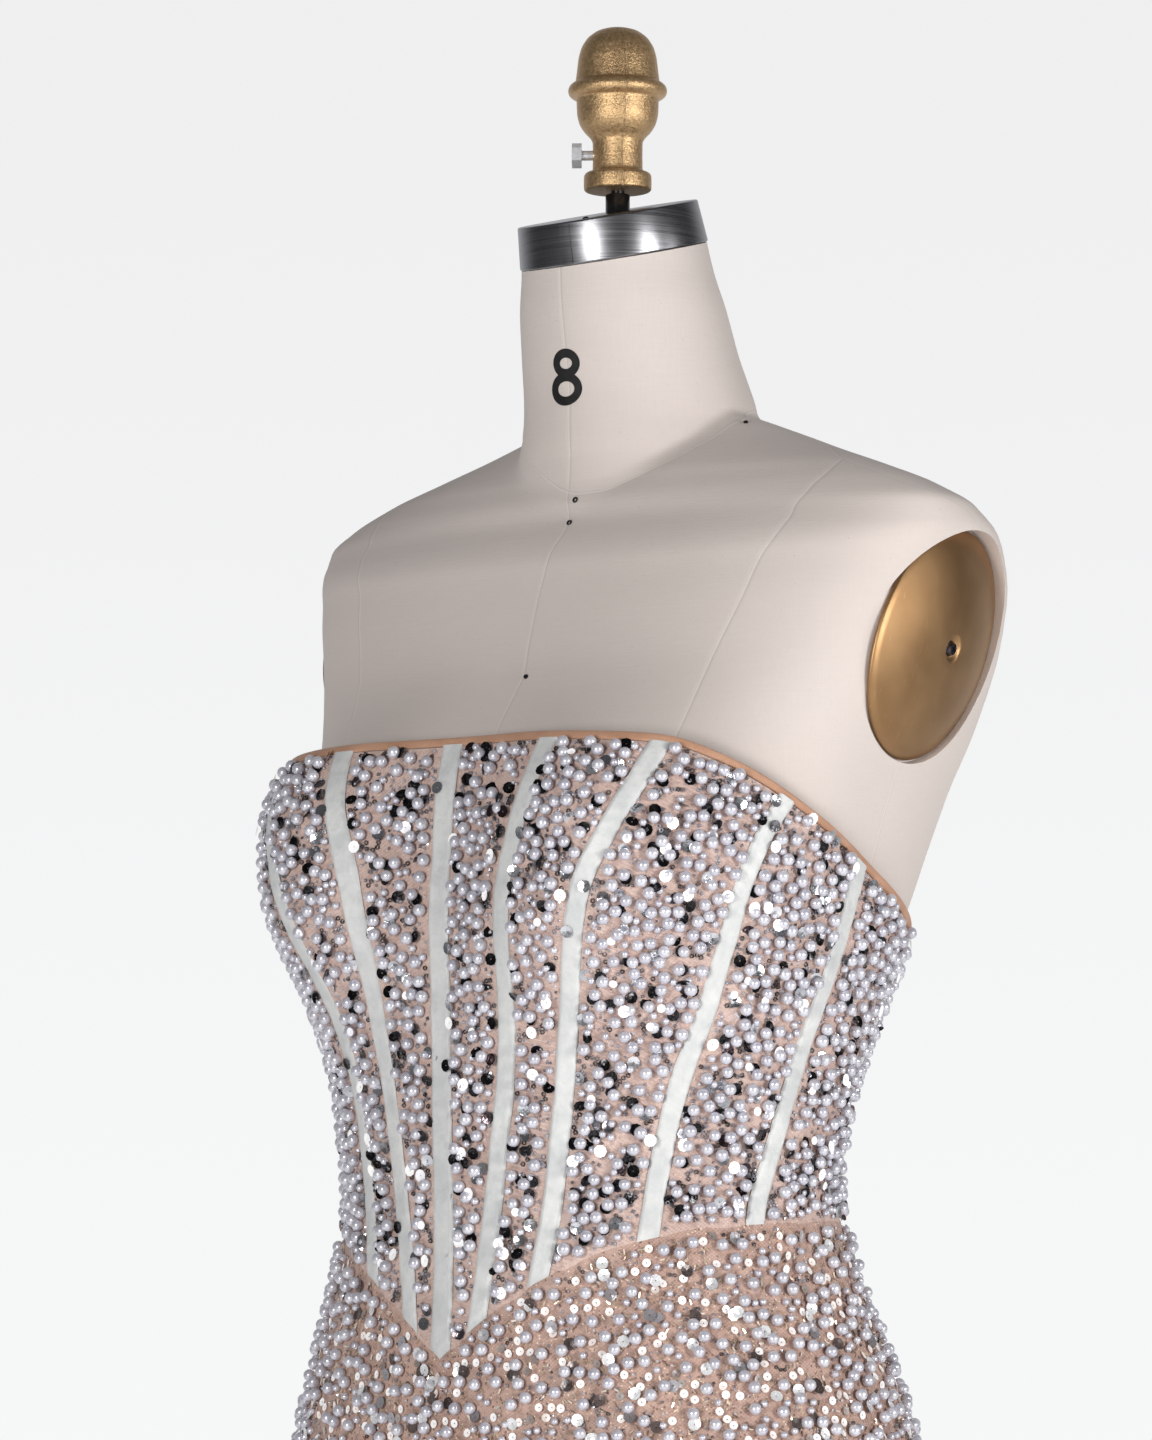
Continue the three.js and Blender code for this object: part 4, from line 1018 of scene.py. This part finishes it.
def cut_size(shape):
    """Greatest width and length of a laid grid, and its area."""
    layer = shape.loops.layers.uv["cloth"]
    spots = np.array([loop[layer].uv[:] for face in shape.faces for loop in face.loops]) / MM
    across, upward = np.maximum(spots.max(axis=0) - spots.min(axis=0), NARROWEST_CUT)
    area = sum(face.calc_area() for face in shape.faces)
    return across, upward, min(area, across * upward)


def thicken(shape, wall):
    """Gives laid cloth its wall, inwards."""
    bmesh.ops.solidify(shape, geom=shape.faces[:], thickness=wall)


USUAL_PANEL_WIDTH = 34.0  # for how far its tuck reaches in from the seams


def build_bodice_panels():
    panels = {}
    for side, sign in SIDES.items():
        for index, panel in enumerate(PANELS):
            def place(u, v, sign=sign, index=index):
                along = u if sign > 0 else 1 - u
                angle, z = panel_place(index, along, v)
                edge = np.minimum(along, 1 - along) * USUAL_PANEL_WIDTH
                tuck = -0.55 * np.exp(-((edge / 3.0) ** 2))
                pull = 0.35 * np.sin(z / 5.3 + index * 2.1) * np.sin(np.pi * along)
                pull = pull + 0.3 * np.sin(z / 11 + angle / 3.1)
                return cloth_point(sign * angle, z, tuck + pull * 0.6)

            shape = laid_grid(14, 56, place)
            size = cut_size(shape)
            thicken(shape, CLOTH_WALL)
            node = f"bodice_{panel}_{side}"
            cloth = make_piece(f"{node}_cloth", shape, BODICE_NET, node, 60)
            panels[node] = (cloth, size)
    return panels


def bone_line(seam, s, v):
    """Angle and height on a boning tape, s across it in millimetres from its seam, v up it."""
    z = np.zeros_like(s)
    for _ in range(14):
        base = seam_angle(seam, z)
        radius = section_radius(CLOTH_SECTIONS, CLOTH_BUST, base, z)
        slant = np.radians(seam_angle(seam, z + 2) - seam_angle(seam, z - 2)) * radius / 4
        angle = base + np.degrees(s * np.sqrt(1 + slant**2) / radius)
        low = waist_seam(angle)
        z = low + (top_edge(angle) - BINDING_HEIGHT + 1.2 - low) * v
    return angle, z


BONE_HALF = 4.75
CENTRE_BONE_HALF = 5.9


def build_bones():
    bones = {}
    for seam in SEAMS[:-1]:
        for side, sign in SIDES.items():
            if seam == "centre" and side == "right":
                continue
            phase = len(bones) * 1.7
            half = CENTRE_BONE_HALF if seam == "centre" else BONE_HALF

            def place(u, v, seam=seam, sign=sign, phase=phase, half=half):
                across = (u * 2 - 1) * sign
                wobble = 1 + 0.02 * np.sin(v * 37 + phase) + 0.015 * np.sin(v * 83 + phase * 2)
                angle, z = bone_line(seam, across * half * wobble, v)
                crown = np.clip(1 - np.abs(across) ** 6, 0, 1) ** 0.5
                dents = 0.12 * np.sin(v * 61 + phase) + 0.08 * np.sin(v * 149 + across * 2)
                end = np.clip(v / 0.012, 0, 1) ** 0.5
                return cloth_point(sign * angle, z, 0.4 + (1.15 + dents) * crown * end)

            shape = laid_grid(12, 90, place)
            thicken(shape, 0.6)
            name = "bone_centre_front" if seam == "centre" else f"bone_{seam}_{side}"
            bones[name] = make_piece(f"{name}_tape", shape, TAPE, name, 70)
    return bones


def build_binding():
    end = 180 - float(degrees_for(ZIP_TAPE_HALF + SEAM_GAP, 180.0, ZIP_TOP))

    def place(u, v):
        angle = -end + 2 * end * u
        loop = 2 * np.pi * v
        half = BINDING_HEIGHT / 2 - SEAM_GAP / 2
        deep = np.sign(np.cos(loop)) * np.abs(np.cos(loop)) ** 0.7
        tall = np.sign(np.sin(loop)) * np.abs(np.sin(loop)) ** 0.7
        middle = top_edge(angle) - half
        return cloth_point(angle, middle + half * tall, -0.65 + 1.4 * deep)

    shape = laid_grid(300, 16, place)
    closed(shape)
    faced_out(shape)
    return make_piece("neckline_binding_satin", shape, BINDING, "neckline_binding", 70)


SIDE_SEAM = 91.0


def skirt_place(start, end):
    def place(u, v):
        angle = start + (end - start) * u
        top = waist_seam(angle) - SEAM_GAP
        z = -HEM_DROP + (top + HEM_DROP) * v
        at_zip = np.abs(np.abs(angle) - 180) < 0.01
        inset = np.where(at_zip, zip_half(z), 0) + SEAM_GAP / 2
        lean = np.where(u < 0.001, 1.0, 0) - np.where(u > 0.999, 1.0, 0)
        angle = angle + lean * degrees_for(inset, angle, z)
        drape = 0.8 * np.sin(np.radians(angle) * 7 + z / 70) * np.clip((-z - 120) / 250, 0, 1)
        hem = 0.5 * np.exp(-(((z + HEM_DROP - 6) / 7) ** 4))
        soft = 0.3 * np.sin(z / 7.3 + angle / 5)
        return cloth_point(angle, z, drape + hem + soft * np.clip(v * (1 - v) * 20, 0, 1) - 0.1)

    return place


def build_skirt():
    skirt = {}
    pieces = {
        "skirt_front": (-SIDE_SEAM, SIDE_SEAM, 96),
        "skirt_back_left": (SIDE_SEAM, 180.0, 48),
        "skirt_back_right": (-180.0, -SIDE_SEAM, 48),
    }
    for name, (start, end, across) in pieces.items():
        shape = laid_grid(across, 76, skirt_place(start, end))
        size = cut_size(shape)
        thicken(shape, SKIRT_WALL)
        skirt[name] = (make_piece(f"{name}_cloth", shape, SKIRT_NET, name, 60), size)
    return skirt


def build_zip():
    def tape_place(u, v):
        z = ZIP_END + 3 + (ZIP_TOP - ZIP_END - 3) * v
        half = np.maximum(zip_half(z) - SEAM_GAP, 0.05)
        return cloth_point(180 + (u * 2 - 1) * degrees_for(half, 180.0, z), z, 0.0)

    shape = laid_grid(8, 120, tape_place)
    size = cut_size(shape)
    thicken(shape, SKIRT_WALL)
    tape = make_piece("zip_tape_woven", shape, ZIP_TAPE, "zip_tape")
    tooth = bmesh.new()
    bmesh.ops.create_cube(tooth, size=1)
    sized(tooth, (2.4, 0.62, 1.1))
    pitch = 0.78
    heights = np.arange(ZIP_FULL + 1, ZIP_TOP - 5, pitch)
    stagger = np.where(np.arange(len(heights)) % 2, 1.0, -1.0) * 0.75
    angles = 180 + degrees_for(stagger, 180.0, heights)
    shape = bead_shape(tooth)
    teeth = sewn_mesh("zip_teeth", shape, angles, heights, 0.85, None, CHROME_TEETH, "zip_metal")
    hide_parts("zip_chain")
    return tape, size, teeth


# ---------------------------------------------------------------- beading


def bead_shape(shape):
    """Corners and triangles of a small shape that will be repeated."""
    bmesh.ops.triangulate(shape, faces=shape.faces[:])
    corners = np.array([v.co[:] for v in shape.verts])
    triangles = np.array([[v.index for v in face.verts] for face in shape.faces])
    shape.free()
    return corners, triangles


def sewn_mesh(name, shape, angles, heights, lift, rng, finish, slot, scale=1.0, tilt=0.0):
    """Joins one small shape repeated over the cloth, each copy standing on the surface."""
    corners, triangles = shape
    count = len(angles)
    normal = facing_out(cloth_point, angles, heights)
    places = cloth_point(angles, heights) + normal * np.broadcast_to(lift, count)[:, None]
    spin = np.zeros(count)
    tint = np.full(count, 0.5)
    if rng is not None:
        normal = normal + tilt * rng.normal(size=(count, 3))
        normal = normal / np.linalg.norm(normal, axis=1, keepdims=True)
        spin = rng.uniform(0, 2 * np.pi, count)
        tint = rng.random(count)
    side = np.cross((0.0, 0.0, 1.0), normal)
    side /= np.linalg.norm(side, axis=1, keepdims=True)
    first = side * np.cos(spin)[:, None] + np.cross(normal, side) * np.sin(spin)[:, None]
    axes = np.stack([first, np.cross(normal, first), normal], axis=2)
    size = np.broadcast_to(scale, count)
    spread = np.einsum("nij,kj->nki", axes, corners) * size[:, None, None] + places[:, None, :]
    every = (triangles[None] + (np.arange(count) * len(corners))[:, None, None]).reshape(-1)
    mesh = bpy.data.meshes.new(name)
    mesh.vertices.add(count * len(corners))
    mesh.vertices.foreach_set("co", (spread * MM).ravel())
    mesh.loops.add(len(every))
    mesh.loops.foreach_set("vertex_index", every.astype(np.int32))
    mesh.polygons.add(len(every) // 3)
    mesh.polygons.foreach_set("loop_start", np.arange(0, len(every), 3, dtype=np.int32))
    mesh.update()
    write_values(mesh, "tint", np.repeat(tint, len(corners)))
    return finished(name, mesh, finish, sharp_over=50)


class Beading:
    """Keeps the place of every bead sewn so far, in cells, so that the next ones find a clear spot."""

    cell = 7.0

    def __init__(self, seed):
        self.rng = np.random.default_rng(seed)
        self.cells = {}

    def clear(self, spot, reach, gap):
        x, y, z = spot
        i, j, k = int(x // self.cell), int(y // self.cell), int(z // self.cell)
        for a in (i - 1, i, i + 1):
            for b in (j - 1, j, j + 1):
                for c in (k - 1, k, k + 1):
                    for px, py, pz, size in self.cells.get((a, b, c), ()):
                        least = (reach + size) * gap
                        if (px - x) ** 2 + (py - y) ** 2 + (pz - z) ** 2 < least * least:
                            return False
        return True

    def keep(self, spot, reach):
        x, y, z = spot
        key = (int(x // self.cell), int(y // self.cell), int(z // self.cell))
        self.cells.setdefault(key, []).append((x, y, z, reach))

    def draw(self, low, high, number):
        """Even random spots over the cloth between two heights."""
        angle = self.rng.uniform(-180, 180, number)
        z = self.rng.uniform(low, high, number)
        patch = np.linalg.norm(outward(cloth_point, angle, z), axis=1)
        keep = self.rng.random(number) < patch / patch.max()
        return angle[keep], z[keep]

    def sew(self, region, low, high, count, reach, gap=1.0, remember=True, crowd=None):
        """Clear spots for up to count beads in a region."""
        angle, z = self.draw(low, high, count * 14)
        inside = region(angle, z, reach)
        angle, z = angle[inside], z[inside]
        if crowd is not None:
            chosen = self.rng.random(len(angle)) < crowd(angle, z)
            angle, z = angle[chosen], z[chosen]
        spots = cloth_point(angle, z).tolist()
        kept = []
        for index, spot in enumerate(spots):
            if self.clear(spot, reach, gap):
                kept.append(index)
                if remember:
                    self.keep(spot, reach)
                if len(kept) == count:
                    break
        return angle[kept], z[kept]


def off_bones(angle, z):
    """Millimetres from the nearest tape's centre line, less what the centre front one is wider."""
    turn = np.abs(angle)
    per_degree = np.radians(section_radius(CLOTH_SECTIONS, CLOTH_BUST, turn, z))
    gaps = [np.abs(turn - seam_angle(seam, z)) * per_degree for seam in SEAMS[:-1]]
    gaps[SEAMS.index("centre")] -= CENTRE_BONE_HALF - BONE_HALF
    return np.min(gaps, axis=0)


def off_zip(angle, z):
    radius = section_radius(CLOTH_SECTIONS, CLOTH_BUST, angle, z)
    across = (180 - np.abs(angle)) * np.radians(radius)
    return np.where(z < ZIP_END - 6, 50.0, across)


def on_bodice(angle, z, reach, over_bones=False):
    inside = (z > waist_seam(angle) + reach + 0.6) & (z < top_edge(angle) - BINDING_HEIGHT - reach * 0.7)
    room = BONE_HALF + 0.2 + reach * 0.9
    return inside & (over_bones | (off_bones(angle, z) > room)) & (off_zip(angle, z) > ZIP_CLEAR + reach)


def on_skirt(angle, z, reach):
    inside = (z < waist_seam(angle) - 2.2 - reach) & (z > -HEM_DROP + 1.5 + reach)
    return inside & (off_zip(angle, z) > ZIP_CLEAR + reach)


def patches(angle, z, scale=26.0, floor=0.35, seed=0.0):
    """A smooth, patchy density from 0 to 1."""
    a = np.radians(angle)
    wave = (
        np.sin(z / scale * 2.1 + 3 * np.sin(a * 5 + seed))
        + np.sin(a * 11 + z / scale + seed * 2)
        + np.sin(a * 23 - z / scale * 1.7 + seed * 3)
    )
    return np.clip(0.5 + wave / 4.5, 0, 1) * (1 - floor) + floor


def ring_bead(outer, inner, height, sides=6):
    """A low seed bead: a short ring, open in the middle."""
    shape = spun([(outer, 0), ((outer + inner) / 2, height), (inner, height * 0.3)], sides, 0.001)
    faced_out(shape)
    return bead_shape(shape)


def disc(radius, hole, sides=9, cup=0.12):
    """A flat sequin with a pierced middle, slightly cupped."""
    shape = spun([(hole, 0), (radius, radius * cup)], sides, 0.001)
    for face in shape.faces:
        face.normal_update()
        if face.normal.z < 0:
            face.normal_flip()
    return bead_shape(shape)


def ball(radius, around=None):
    """A bead, or a rougher one with the given number of sides for the small sizes."""
    shape = bmesh.new()
    if around is None:
        bmesh.ops.create_icosphere(shape, subdivisions=2, radius=radius)
    else:
        bmesh.ops.create_uvsphere(shape, u_segments=around, v_segments=around - 2, radius=radius)
    return bead_shape(shape)


def stick(length, thick):
    shape = bmesh.new()
    bmesh.ops.create_cone(shape, cap_ends=True, segments=3, radius1=thick, radius2=thick, depth=length)
    bmesh.ops.rotate(shape, verts=shape.verts, cent=(0, 0, 0), matrix=Matrix.Rotation(math.pi / 2, 3, "Y"))
    return bead_shape(shape)


def seed_strings(beading, region, low, high, strings, most, pitch, reach):
    """Seed beads in short strings that curl back on themselves."""
    angle, z = beading.sew(region, low, high, strings, reach, 1.0, remember=False)
    rng = beading.rng
    angles, heights = [], []
    for a, h in zip(angle, z):
        heading = rng.uniform(0, 2 * np.pi)
        bend = rng.normal(0, 0.5)
        radius = float(section_radius(CLOTH_SECTIONS, CLOTH_BUST, a, h))
        for _ in range(rng.integers(2, most + 1)):
            angles.append(a)
            heights.append(h)
            heading += bend + rng.normal(0, 0.5)
            a += math.degrees(math.cos(heading) * pitch / radius)
            h += math.sin(heading) * pitch
    angles, heights = np.array(angles), np.array(heights)
    inside = region(angles, heights, 1.1)
    angles, heights = angles[inside], heights[inside]
    kept = []
    for index, spot in enumerate(cloth_point(angles, heights).tolist()):
        if beading.clear(spot, reach, 0.82):
            beading.keep(spot, reach)
            kept.append(index)
    return angles[kept], heights[kept]


# Beads are drawn between these heights
BODICE_HEIGHTS = (-77, 208)
SKIRT_HEIGHTS = (-HEM_DROP, -12)
SEQUIN_RADIUS = 2.95


def bead_bodice():
    """Pearls of two sizes, curling strings of seed beads, crumbs, and foil discs among them."""
    made = []

    def add(name, shape, spots, lift, finish, **more):
        made.append(sewn_mesh(f"bodice_{name}", shape, *spots, lift, rng, finish, "beaded_net", **more))

    beading = Beading(808)
    rng = beading.rng
    within = BODICE_HEIGHTS
    crowd = lambda angle, z: patches(angle, z, 26, 0.3, 0.7)
    small_crowd = lambda angle, z: patches(angle, z, 19, 0.35, 2.2)
    spots = beading.sew(on_bodice, *within, 1950, 3.0, 0.93, crowd=crowd)
    size = rng.uniform(0.92, 1.03, len(spots[0]))
    add("pearls", ball(3.05), spots, 2.7, PEARL, scale=size)
    spots = beading.sew(on_bodice, *within, 1150, 2.0, 0.86, crowd=small_crowd)
    add("small_pearls", ball(2.0, 6), spots, 1.8, PEARL)
    spots = seed_strings(beading, on_bodice, *within, 620, 9, 2.3, 1.25)
    add("seed_beads", ring_bead(1.3, 0.55, 0.9), spots, 0.6, SEED, tilt=0.2)
    spots = beading.sew(on_bodice, *within, 3600, 0.9, 0.9, crowd=crowd)
    size = rng.uniform(0.7, 1.2, len(spots[0]))
    add("crumbs", ball(1.05, 4), spots, 0.7, CRUMB, scale=size)
    foil = Beading(411)
    roomy = lambda a, z, reach: on_bodice(a, z, reach * 0.4)
    spots = foil.sew(roomy, *within, 900, 2.9, 0.9)
    lifts = rng.uniform(0.7, 3.0, len(spots[0]))
    add("sequins", disc(SEQUIN_RADIUS, 0.35), spots, lifts, SEQUIN, tilt=0.3)
    # Sequins painted white and glowing: a painted reflection of the lamps in mirror sequins.
    spots = foil.sew(roomy, *within, 160, 2.9, 0.7)
    lifts = rng.uniform(2.2, 5.2, len(spots[0]))
    size = rng.choice([1.0, 1.0, 0.68], len(spots[0]))
    add("painted_flash_sequins", disc(SEQUIN_RADIUS, 0.3), spots, lifts, PAINTED_FLASH, scale=size, tilt=0.12)
    by_bones = lambda a, z, reach: on_bodice(a, z, reach, True) & (off_bones(a, z) < 5)
    spots = foil.sew(by_bones, *within, 14, 2.9, 1.0)
    add("stray_sequins", disc(SEQUIN_RADIUS, 0.35), spots, 2.2, SEQUIN, tilt=0.12)
    return made


def bead_skirt():
    """The skirt's beads, in two halves: wider apart, with small discs and gold glints between them."""
    made = []
    halves = (("front", lambda a: np.abs(a) <= 90, 515), ("back", lambda a: np.abs(a) > 90, 616))
    for half, on_half, seed in halves:
        beading = Beading(seed)
        rng = beading.rng
        region = lambda a, z, r: on_skirt(a, z, r) & on_half(a)

        def add(name, shape, spots, lifts, finish, tilt):
            name = f"skirt_{name}_{half}"
            made.append(sewn_mesh(name, shape, *spots, lifts, rng, finish, "skirt_net", tilt=tilt))

        def sew_all(name, shape, count, reach, gap, lift, finish, spread=0.0, remember=True):
            spots = beading.sew(region, *SKIRT_HEIGHTS, count, reach, gap, remember)
            lifts = lift + spread * rng.random(len(spots[0]))
            add(name, shape, spots, lifts, finish, 0.0 if finish is PEARL else 0.16)

        sew_all("pearls", ball(2.95), 1420, 3.0, 1.08, 2.7, PEARL)
        sew_all("discs", disc(2.0, 0.34), 1300, 2.0, 0.98, 0.9, DISC)
        sew_all("small_pearls", ball(1.9, 6), 1000, 1.9, 1.05, 1.7, PEARL)
        sew_all("sequins", disc(SEQUIN_RADIUS, 0.34), 620, 2.9, 0.62, 0.8, BIG_DISC, 1.6, False)
        sew_all("bugles", stick(2.5, 0.46), 4000, 0.9, 0.9, 0.5, GLINT, remember=False)
        sew_all("crumbs", ball(0.9, 4), 2400, 0.9, 0.9, 0.6, CRUMB, remember=False)
        spots = seed_strings(beading, region, *SKIRT_HEIGHTS, 260, 5, 2.3, 1.2)
        add("seed_beads", ring_bead(1.05, 0.45, 0.8), spots, 0.3, SEED, 0.2)
    return made


# ---------------------------------------------------------------- building

build_form_body()
build_arm_plates()
build_neck_band()
build_knob_and_rod()
build_stand()
build_size_number()
build_pins()

panels = build_bodice_panels()
bones = build_bones()
binding = build_binding()
skirt = build_skirt()
zip_tape, zip_size, zip_teeth = build_zip()
bodice_beads = bead_bodice()
skirt_beads = bead_skirt()

kept_nodes = {
    "arm_screw_left": SCREW_DARK, "arm_screw_right": SCREW_DARK, "thumb_screw": CHROME,
    "zip_slider": CHROME_TEETH, "zip_pull": CHROME_TEETH,
}
for node, finish in kept_nodes.items():
    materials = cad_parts[node].data.materials
    materials.clear()
    materials.append(finish)

for number, (cloth, size) in enumerate(panels.values()):
    extras = [binding, *bones.values(), *bodice_beads] if number == 0 else []
    declare_sheet(size, extras)
for node, (cloth, size) in skirt.items():
    declare_sheet(size, skirt_beads if node == "skirt_front" else [])
declare_sheet(zip_size, [zip_teeth])

# ---------------------------------------------------------------- studio

VIEW_TURN = math.radians(40)
VIEW_RISE = math.radians(-5)
VIEW_TARGET = (-0.01532, -0.01286, 1.264)
VIEW_DISTANCE = 2.8
LAMP_AIM = (0, 0, 1.25)
# Name, place, power, width and height
LAMPS = [
    ("lamp_left", (0.63, -2.52, 1.2), 34, 0.6, 0.85),
    ("lamp_right", (2.59, -0.27, 1.2), 35, 0.7, 0.9),
    ("lamp_side", (2.36, 1.05, 1.3), 6.5, 0.6, 0.9),
]


def build_camera():
    camera = bpy.data.cameras.new("camera")
    camera.sensor_fit = "VERTICAL"
    camera.sensor_height = 36
    camera.lens = 147
    camera.clip_end = 50
    holder = link_object("camera", camera)
    level = math.cos(VIEW_RISE)
    back = Vector((math.sin(VIEW_TURN) * level, -math.cos(VIEW_TURN) * level, math.sin(VIEW_RISE)))
    holder.location = Vector(VIEW_TARGET) + back * VIEW_DISTANCE
    holder.rotation_euler = back.to_track_quat("Z", "Y").to_euler()
    bpy.context.scene.camera = holder


def soft_light(name, place, power, wide, tall):
    light = bpy.data.lights.new(name, "AREA")
    light.shape = "RECTANGLE"
    light.size = wide
    light.size_y = tall
    light.energy = power
    holder = link_object(name, light)
    holder.location = place
    holder.rotation_euler = (Vector(place) - Vector(LAMP_AIM)).to_track_quat("Z", "Y").to_euler()
    holder.visible_camera = False


def build_surround():
    """A bright paper backdrop behind, and a dark room in front where the lamps stand."""
    world = bpy.data.worlds.new("studio")
    room = Finish("studio", world)
    direction = room.node("ShaderNodeTexCoord").outputs["Generated"]
    split = room.node("ShaderNodeSeparateXYZ", None, {0: direction})
    x, y, z = (Value(room, split.outputs[axis]) for axis in "XYZ")
    paper = room.mix(z.ease(-0.05, 0.22), (0.925, 0.935, 0.935, 1), (0.865, 0.865, 0.873, 1))
    forward = x * math.sin(VIEW_TURN) - y * math.cos(VIEW_TURN)
    behind = forward.ease(-0.95, -0.35, 1.0, 0.0)
    below = z.ease(-0.6, -0.1, 0.6, 0.0)
    glow = room.mix(behind.most(below), (0.09, 0.09, 0.095, 1), (0.7, 0.71, 0.73, 1))
    seen = room.node("ShaderNodeLightPath").outputs["Is Camera Ray"]
    light = room.node("ShaderNodeBackground", None, {"Color": room.mix(seen, glow, paper)})
    room.node("ShaderNodeOutputWorld", None, {"Surface": light.outputs[0]})
    bpy.context.scene.world = world


def build_floor():
    shape = bmesh.new()
    bmesh.ops.create_circle(shape, cap_ends=True, segments=96, radius=3.4)
    mesh = mesh_of("floor", shape)
    f = Finish("floor_white")
    far = (f.axis("X") ** 2 + f.axis("Y") ** 2) ** 0.5
    base = f.mix(f.noise(0.8, 2).ease(0.3, 0.7), (0.8, 0.8, 0.805, 1), (0.77, 0.77, 0.78, 1))
    glow = f.mix(far.ease(0.3, 2.5), (0.5, 0.5, 0.51, 1), (0.8, 0.81, 0.82, 1))
    mesh.materials.append(f.surface(
        Base_Color=base, Roughness=0.9, Emission_Color=glow, Emission_Strength=0.6,
        Alpha=far.ease(1.8, 3.3, 1.0, 0.0),
    ))
    link_object("floor", mesh)


build_camera()
build_surround()
build_floor()
for lamp in LAMPS:
    soft_light(*lamp)
bpy.context.scene.view_settings.view_transform = "Standard"
